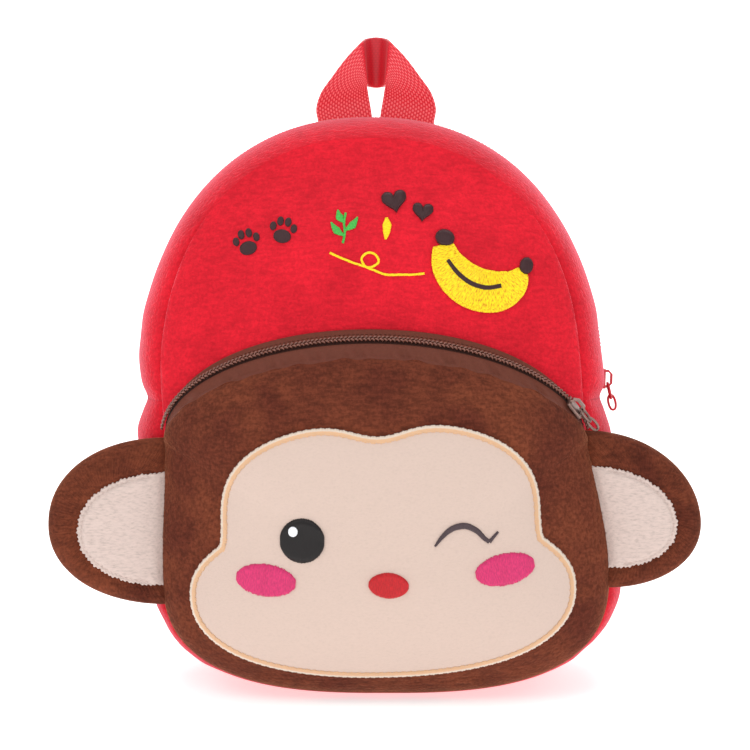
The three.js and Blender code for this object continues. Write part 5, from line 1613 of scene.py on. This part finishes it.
def build_ears(sizes):
    """Two padded ears with a pale inner patch and its stitching."""
    # The ears' plush is a darker copy of the brown plush, painted shade
    brown, pale = get_material("cut_pile_plush_brown_ribbed"), get_material("tricot_velour_ear")
    for side in EARS:
        ear = ear_lines(side)
        front_move, back_move = ear_moves(ear)

        def surface(x, z):
            return ear_front(ear, x, z) + front_move(x, z)

        padded = add_piece(
            f"ear_{side}_padded", ear_form(ear, front_move, back_move), brown, "brown_plush", [f"ear_{side}"])
        add_piece(f"ear_{side}_inner", patch_form(ear, surface), pale, "ear_velour", [f"ear_patch_{side}"])
        add_piece(f"ear_{side}_stitching", patch_stitches(ear, surface), pale, "ear_velour")


# Webbing
def weave_relief(along, across, pitch_along, pitch_across, high):
    """Relief of plain webbing: staggered oval grains, each column shifted by half a grain from the next."""
    column = np.floor(across / pitch_across)
    u = across / pitch_across - column
    v = np.mod(along / pitch_along + 0.5 * np.mod(column, 2), 1)
    return high * np.sqrt(np.clip(1 - (2 * u - 1) ** 2, 0, 1)) * (1 - np.abs(2 * v - 1) ** 2.4)


def webbing(left, right, columns, sizes, calm=None):
    """A length of webbing between its two edge lines, with its weave in relief on both faces.

    calm tells for each point along it how far the grain lies flat there and takes painted shade, from 0 to 1.
    """
    calm = np.zeros(len(left)) if calm is None else calm
    share = np.linspace(0, 1, columns)[None, :, None]
    middle = mix(left[:, None], right[:, None], share)
    along = run_of((left + right) / 2)[:, None]
    across = share[..., 0] * WEB_WIDTH
    relief = weave_relief(along, across, sizes.weave_along / MM, sizes.weave_across / MM, 0.26)
    edge = np.minimum(across, WEB_WIDTH - across)
    half = (WEB_WALL / 2 - 0.25) * np.sqrt(np.clip(1 - np.clip(1 - edge / 0.9, 0, 1) ** 2, 0.04, 1))
    half = half + relief * (1 - calm[:, None]) * np.clip(edge / 0.6, 0, 1)
    off = facing_of(left, right)[:, None] * half[..., None]
    uv = np.stack(np.broadcast_arrays(along, across), -1)
    form = slab(middle + off, middle - off, uv=uv)
    form["calm"] = np.tile(np.repeat(calm, columns), 2)
    return form


def facing_of(left, right):
    """Direction square to a ruled band, by its edge lines."""
    along = np.gradient(left + right, axis=0)
    return unit(np.cross(along, right - left))


def box_stitch(corners):
    """A sewn box with its two diagonals between four corners, on the back of a band."""
    rows = []
    for a, b in ((0, 1), (1, 2), (2, 3), (3, 0), (0, 2), (1, 3)):
        line = mix(corners[a][None], corners[b][None], np.linspace(0, 1, 12)[:, None])
        rows.append(stitches(line, np.broadcast_to(BEHIND, line.shape), 2.4, 1.9, 0.28))
    return joined(rows)


def build_loop(sizes):
    """The carrying loop: a band of webbing bent over itself, sewn flat below the top back seam."""
    foot = TOP_SEAM - 12
    plane = float(back_depth(np.array(LOOP_SHIFT), np.array(foot))) + GAP + WEB_WALL / 2
    outer, outer_rise, inner, inner_rise, back = LOOP_TABLE.T
    rising = np.stack([
        -outer, BAG_HEIGHT + outer_rise * LOOP_RISE, -inner, BAG_HEIGHT + inner_rise * LOOP_RISE, back], 1)
    half = np.concatenate([[(-outer[0], z, -inner[0], z, 0) for z in (foot, TOP_SEAM)], rising])
    knots = np.concatenate([half, half[-2::-1] * (-1, 1, -1, 1, 1)])
    knots = knots * (WEB_WIDTH, 1, WEB_WIDTH, 1, WEB_WIDTH) + (LOOP_SHIFT, 0, LOOP_SHIFT, 0, plane)
    line = through(knots, 430)
    share = np.abs(np.linspace(-1, 1, len(line)))
    # calm: the set-back middle of the loop has flat grain and painted shade
    calm = 0.94 * (1 - smooth((share - 0.11) / 0.08))
    band = webbing(line[:, [0, 4, 1]], line[:, [2, 4, 3]], 84, sizes, calm)
    add_piece("loop_webbing", band, get_material("woven_webbing_red"), "red_webbing", ["carrying_loop"])
    boxes = []
    for sign in (-1, 1):
        ends = np.array([inner[0], outer[0]]) * WEB_WIDTH * sign
        near, far = ends + LOOP_SHIFT + np.array([2.4, -2.4]) * sign
        low, high = TOP_SEAM - 10, TOP_SEAM - 1
        boxes.append(box_stitch([
            np.array([x, plane + WEB_WALL / 2 + STITCH_LIFT, z])
            for x, z in ((near, low), (far, low), (far, high), (near, high))]))
    add_piece("loop_stitching", joined(boxes), get_material("satin_thread_red_thread"), "red_webbing")


def strap_lines(sign):
    """A strap's plane as a function, its side line by distance and depth, and its length."""
    top = np.array([sign * 0.383 * HIGH_HALF, TOP_SEAM - 14])
    foot = np.array([sign * (LOW_HALF - 22), 26.0])
    long = np.linalg.norm(foot - top)
    down = (foot - top) / long

    def place(run, off, across):
        run, off, across = np.broadcast_arrays(run, off, across)
        x = top[0] + down[0] * run - down[1] * sign * across
        return np.stack([x, off, top[1] + down[1] * run + down[0] * sign * across], -1)

    run = STRAP_TABLE[:, 0] * long
    edges = [place(run, 0, side * WEB_WIDTH / 2) for side in (-1, 0, 1)]
    back = np.max([back_depth(e[:, 0] - lean(e[:, 2]), e[:, 2]) for e in edges], 0) + GAP + WEB_WALL / 2
    return place, through(np.stack([run, back + STRAP_TABLE[:, 1] * STRAP_BOW], 1), 400), long


def strap_paths(line, long):
    """Side lines of a strap's two bands, each turned round a bar of the buckle, the lower with a tail."""
    middle_at = int(np.argmax(line[:, 0] > 0.66 * long))
    middle = line[middle_at]
    along = unit(line[middle_at + 4] - line[middle_at - 4])
    facing = np.array([-along[1], along[0]])

    def local(a, b):
        return middle + along * np.asarray(a)[..., None] + facing * np.asarray(b)[..., None]

    radius = np.hypot(3.0, 3.0) / 2 + GAP + WEB_WALL / 2
    turn = np.linspace(-np.pi / 2, np.pi / 2, 24)
    round_x, round_y = radius * np.cos(turn), -radius * np.sin(turn)
    ahead = (line - middle) @ along
    upper = np.concatenate([
        line[ahead < -17], local(-9 + round_x, round_y), local(np.array([-18.0]), np.array([-radius]))])
    below = line[ahead > 18.5]
    tail = below[np.linalg.norm(below - middle, axis=1) < 34] - facing * (WEB_WALL + 0.6)
    lower = np.concatenate([
        below[::-1], local(np.array([8.5]), np.array([radius])), local(-round_x, round_y),
        local(np.array([8.5]), np.array([-radius])), tail])
    return upper, lower


def build_straps(sizes):
    """Two shoulder straps of webbing with their adjusting buckles."""
    web, thread = get_material("woven_webbing_red"), get_material("satin_thread_red_thread")
    for side, sign in (("left", -1), ("right", 1)):
        place, line, long = strap_lines(sign)
        for name, path in zip(("upper", "lower"), strap_paths(line, long)):
            path = evenly(path, int(run_of(path)[-1] / 0.55))
            left, right = (place(path[:, 0], path[:, 1], half * WEB_WIDTH / 2) for half in (-1, 1))
            band = webbing(left, right, 52, sizes)
            add_piece(f"strap_{side}_{name}_webbing", band, web, "red_webbing", [f"strap_{name}_{side}"])
        boxes = []
        for start, end in ((3.0, 13.0), (long - 13.0, long - 3.0)):
            off = {run: float(np.interp(run, line[:, 0], line[:, 1])) + WEB_WALL / 2 for run in (start, end)}
            boxes.append(box_stitch([
                place(run, off[run] + STITCH_LIFT, across)
                for run, across in ((start, -9.5), (start, 9.5), (end, 9.5), (end, -9.5))]))
        add_piece(f"strap_{side}_stitching", joined(boxes), thread, "red_webbing")
        buckle = solid_copy(f"strap_{side}_buckle", f"strap_buckle_{side}", rounded_by(0.6))
        buckle.data.set_sharp_from_angle(angle=SHARP)
        settle(buckle, get_material("moulded_acetal_red"), "red_plastic", [f"strap_buckle_{side}"])


# Hard fittings
def rounded_by(bevel):
    """Modifiers that join a solid's flat faces and round its sharp edges by a bevel in millimetres."""
    return (
        ("DECIMATE", {"decimate_type": "DISSOLVE", "angle_limit": np.radians(1.0)}),
        ("BEVEL", {"width": bevel * MM, "segments": 3, "limit_method": "ANGLE", "angle_limit": np.radians(25)}))


def solid_copy(name, node, modifiers):
    """A copy of a CAD node's solid with its doubled points merged and these modifiers applied."""
    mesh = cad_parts[node].data.copy()
    mesh.name = name
    piece = bpy.data.objects.new(name, mesh)
    bpy.context.scene.collection.objects.link(piece)
    for kind, settings in (("WELD", {"merge_threshold": 1e-5}), *modifiers):
        modifier = piece.modifiers.new(kind.title(), kind)
        for key, value in settings.items():
            setattr(modifier, key, value)
    bpy.context.view_layer.update()
    graph = bpy.context.evaluated_depsgraph_get()
    done = bpy.data.meshes.new_from_object(piece.evaluated_get(graph))
    piece.modifiers.clear()
    piece.data = done
    done.polygons.foreach_set("use_smooth", np.ones(len(done.polygons), bool))
    return piece


def build_fittings(sizes):
    """Sliders, rings and links of the two zips."""
    wire = (("SUBSURF", {"levels": 2, "render_levels": 2}),)
    for zip_name, material, slot in (("pocket", "plated_zinc_pewter", "pewter_metal"),
                                     ("main", "painted_zinc_red", "red_metal")):
        slider = solid_copy(f"{zip_name}_zip_slider", f"{zip_name}_slider", rounded_by(0.35))
        slider.data.set_sharp_from_angle(angle=SHARP)
        settle(slider, get_material(material), slot, [f"{zip_name}_slider"])
        for part in ("ring", "link"):
            node = f"{zip_name}_pull_{part}"
            piece = solid_copy(f"{zip_name}_zip_{part}", node, wire)
            settle(piece, get_material(material), slot, [node], f"{zip_name}_pull")


# Stage
def build_camera(scene):
    """The camera at the photo's angle: straight ahead of the bag and a little above it."""
    camera = bpy.data.objects.new("camera", bpy.data.cameras.new("camera"))
    scene.collection.objects.link(camera)
    camera.data.sensor_width = 36
    camera.data.lens = 98.2
    camera.data.clip_end = 20
    camera.location = (0, -0.8978, 0.1963)
    camera.rotation_euler = (np.radians(90 - 4), 0, 0)
    scene.camera = camera


def build_backdrop(scene):
    """A pale floor that sweeps up behind the bag in a quarter round."""
    turn = np.linspace(0, np.pi / 2, 12)[1:]
    depth = np.concatenate([np.linspace(-3000, SWEEP, 14), SWEEP + SWEEP * np.sin(turn), np.full(4, 2 * SWEEP)])
    height = np.concatenate([np.zeros(14), SWEEP - SWEEP * np.cos(turn), np.linspace(1100, 3000, 4)])
    across = np.linspace(-3500, 3500, 15)
    points = np.stack(np.broadcast_arrays(across[:, None], depth[None, :], height[None, :]), -1)
    mesh = bpy.data.meshes.new("floor")
    mesh.from_pydata((points.reshape(-1, 3) * MM).tolist(), [], grid_faces(15, len(depth)).tolist())
    mesh.polygons.foreach_set("use_smooth", np.ones(len(mesh.polygons), bool))
    floor = bpy.data.objects.new("floor", mesh)
    scene.collection.objects.link(floor)
    floor.data.materials.append(get_material("studio_paper"))


def build_lights(scene):
    """Large soft lamps, all turned to the bag's middle."""
    for name, place, size, power, tint in LAMPS:
        data = bpy.data.lights.new(name, "AREA")
        data.size = size
        data.energy = power
        data.color = tint
        lamp = bpy.data.objects.new(name, data)
        scene.collection.objects.link(lamp)
        lamp.location = place
        aim = np.array([0, 0, 0.12]) - np.array(place)
        lamp.rotation_euler = (np.arctan2(np.hypot(aim[0], aim[1]), -aim[2]), 0, np.arctan2(-aim[0], aim[1]))


def build_world(scene):
    """Even white light from all round, and plain white where the camera looks past the floor."""
    world = bpy.data.worlds.new("studio")
    scene.world = world
    world.use_nodes = True
    tree = world.node_tree
    seen = add_node(tree, "ShaderNodeLightPath").outputs["Is Camera Ray"]
    strength = calculated(tree, "MULTIPLY_ADD", seen, 1 - SKY_STRENGTH, SKY_STRENGTH)
    background = tree.nodes["Background"]
    background.inputs["Color"].default_value = (1.0, 1.0, 1.0, 1.0)
    tree.links.new(strength, background.inputs["Strength"])


def build_stage():
    """Camera, floor, lights and sky, shown with plain sRGB tones."""
    scene = bpy.context.scene
    scene.view_settings.view_transform = "Standard"
    build_camera(scene)
    build_backdrop(scene)
    build_lights(scene)
    build_world(scene)


class BACKPACK_OT_panels(bpy.types.Operator):
    """Builds the red front and back and the brown pocket."""

    bl_idname = "backpack.panels"
    bl_label = "Panels"

    def execute(self, context):
        build_panels(context.scene.backpack_sizes)
        return {"FINISHED"}


class BACKPACK_OT_gussets(bpy.types.Operator):
    """Builds the strips round the sides, base and top."""

    bl_idname = "backpack.gussets"
    bl_label = "Gussets"

    def execute(self, context):
        build_gussets(context.scene.backpack_sizes)
        return {"FINISHED"}


class BACKPACK_OT_pocket_zip(bpy.types.Operator):
    """Builds the pocket's tapes, coil and stitching."""

    bl_idname = "backpack.pocket_zip"
    bl_label = "Pocket zip"

    def execute(self, context):
        build_pocket_zip(context.scene.backpack_sizes)
        return {"FINISHED"}


class BACKPACK_OT_main_zip(bpy.types.Operator):
    """Builds the main zip's tapes, coil and stitching."""

    bl_idname = "backpack.main_zip"
    bl_label = "Main zip"

    def execute(self, context):
        build_main_zip(context.scene.backpack_sizes)
        return {"FINISHED"}


class BACKPACK_OT_face(bpy.types.Operator):
    """Builds the face cloth and its satin border."""

    bl_idname = "backpack.face"
    bl_label = "Face"

    def execute(self, context):
        build_face(context.scene.backpack_sizes)
        return {"FINISHED"}


class BACKPACK_OT_features(bpy.types.Operator):
    """Builds the eyes, nose and cheeks."""

    bl_idname = "backpack.features"
    bl_label = "Features"

    def execute(self, context):
        build_features(context.scene.backpack_sizes)
        return {"FINISHED"}


class BACKPACK_OT_embroidery(bpy.types.Operator):
    """Builds the embroidery on the red front."""

    bl_idname = "backpack.embroidery"
    bl_label = "Embroidery"

    def execute(self, context):
        build_embroidery(context.scene.backpack_sizes)
        return {"FINISHED"}


class BACKPACK_OT_ears(bpy.types.Operator):
    """Builds the padded ears and their inner patches."""

    bl_idname = "backpack.ears"
    bl_label = "Ears"

    def execute(self, context):
        build_ears(context.scene.backpack_sizes)
        return {"FINISHED"}


class BACKPACK_OT_loop(bpy.types.Operator):
    """Builds the carrying loop."""

    bl_idname = "backpack.loop"
    bl_label = "Carrying loop"

    def execute(self, context):
        build_loop(context.scene.backpack_sizes)
        return {"FINISHED"}


class BACKPACK_OT_straps(bpy.types.Operator):
    """Builds the shoulder straps and their buckles."""

    bl_idname = "backpack.straps"
    bl_label = "Shoulder straps"

    def execute(self, context):
        build_straps(context.scene.backpack_sizes)
        return {"FINISHED"}


class BACKPACK_OT_fittings(bpy.types.Operator):
    """Builds the sliders and pulls."""

    bl_idname = "backpack.fittings"
    bl_label = "Sliders and pulls"

    def execute(self, context):
        build_fittings(context.scene.backpack_sizes)
        return {"FINISHED"}


class BACKPACK_OT_stage(bpy.types.Operator):
    """Builds the camera, floor and lights."""

    bl_idname = "backpack.stage"
    bl_label = "Stage"

    def execute(self, context):
        build_stage()
        return {"FINISHED"}


STEPS = (
    BACKPACK_OT_stage, BACKPACK_OT_panels, BACKPACK_OT_gussets, BACKPACK_OT_pocket_zip, BACKPACK_OT_main_zip,
    BACKPACK_OT_face, BACKPACK_OT_features, BACKPACK_OT_embroidery, BACKPACK_OT_ears, BACKPACK_OT_loop,
    BACKPACK_OT_straps, BACKPACK_OT_fittings,
)


class BACKPACK_PT_sidebar(bpy.types.Panel):
    """Lists the backpack's steps, sizes and colours."""

    bl_idname = "BACKPACK_PT_sidebar"
    bl_label = "Backpack"
    bl_space_type = "VIEW_3D"
    bl_region_type = "UI"
    bl_category = "Backpack"

    def draw(self, context):
        for step in STEPS:
            self.layout.operator(step.bl_idname)
        for group in (context.scene.backpack_sizes, context.scene.backpack_colours):
            box = self.layout.box()
            for key in type(group).__annotations__:
                box.prop(group, key)


CLASSES = (BackpackColours, BackpackSizes, *STEPS, BACKPACK_PT_sidebar)


def register():
    """Registers the classes and hangs the sizes and colours on the scene."""
    for entry in CLASSES:
        bpy.utils.register_class(entry)
    bpy.types.Scene.backpack_colours = PointerProperty(type=BackpackColours)
    bpy.types.Scene.backpack_sizes = PointerProperty(type=BackpackSizes)


def unregister():
    """Takes the sizes, colours and classes away again."""
    del bpy.types.Scene.backpack_sizes
    del bpy.types.Scene.backpack_colours
    for entry in reversed(CLASSES):
        bpy.utils.unregister_class(entry)


def main():
    register()
    for step in STEPS:
        group, name = step.bl_idname.split(".")
        getattr(getattr(bpy.ops, group), name)()


if __name__ == "__main__":
    main()
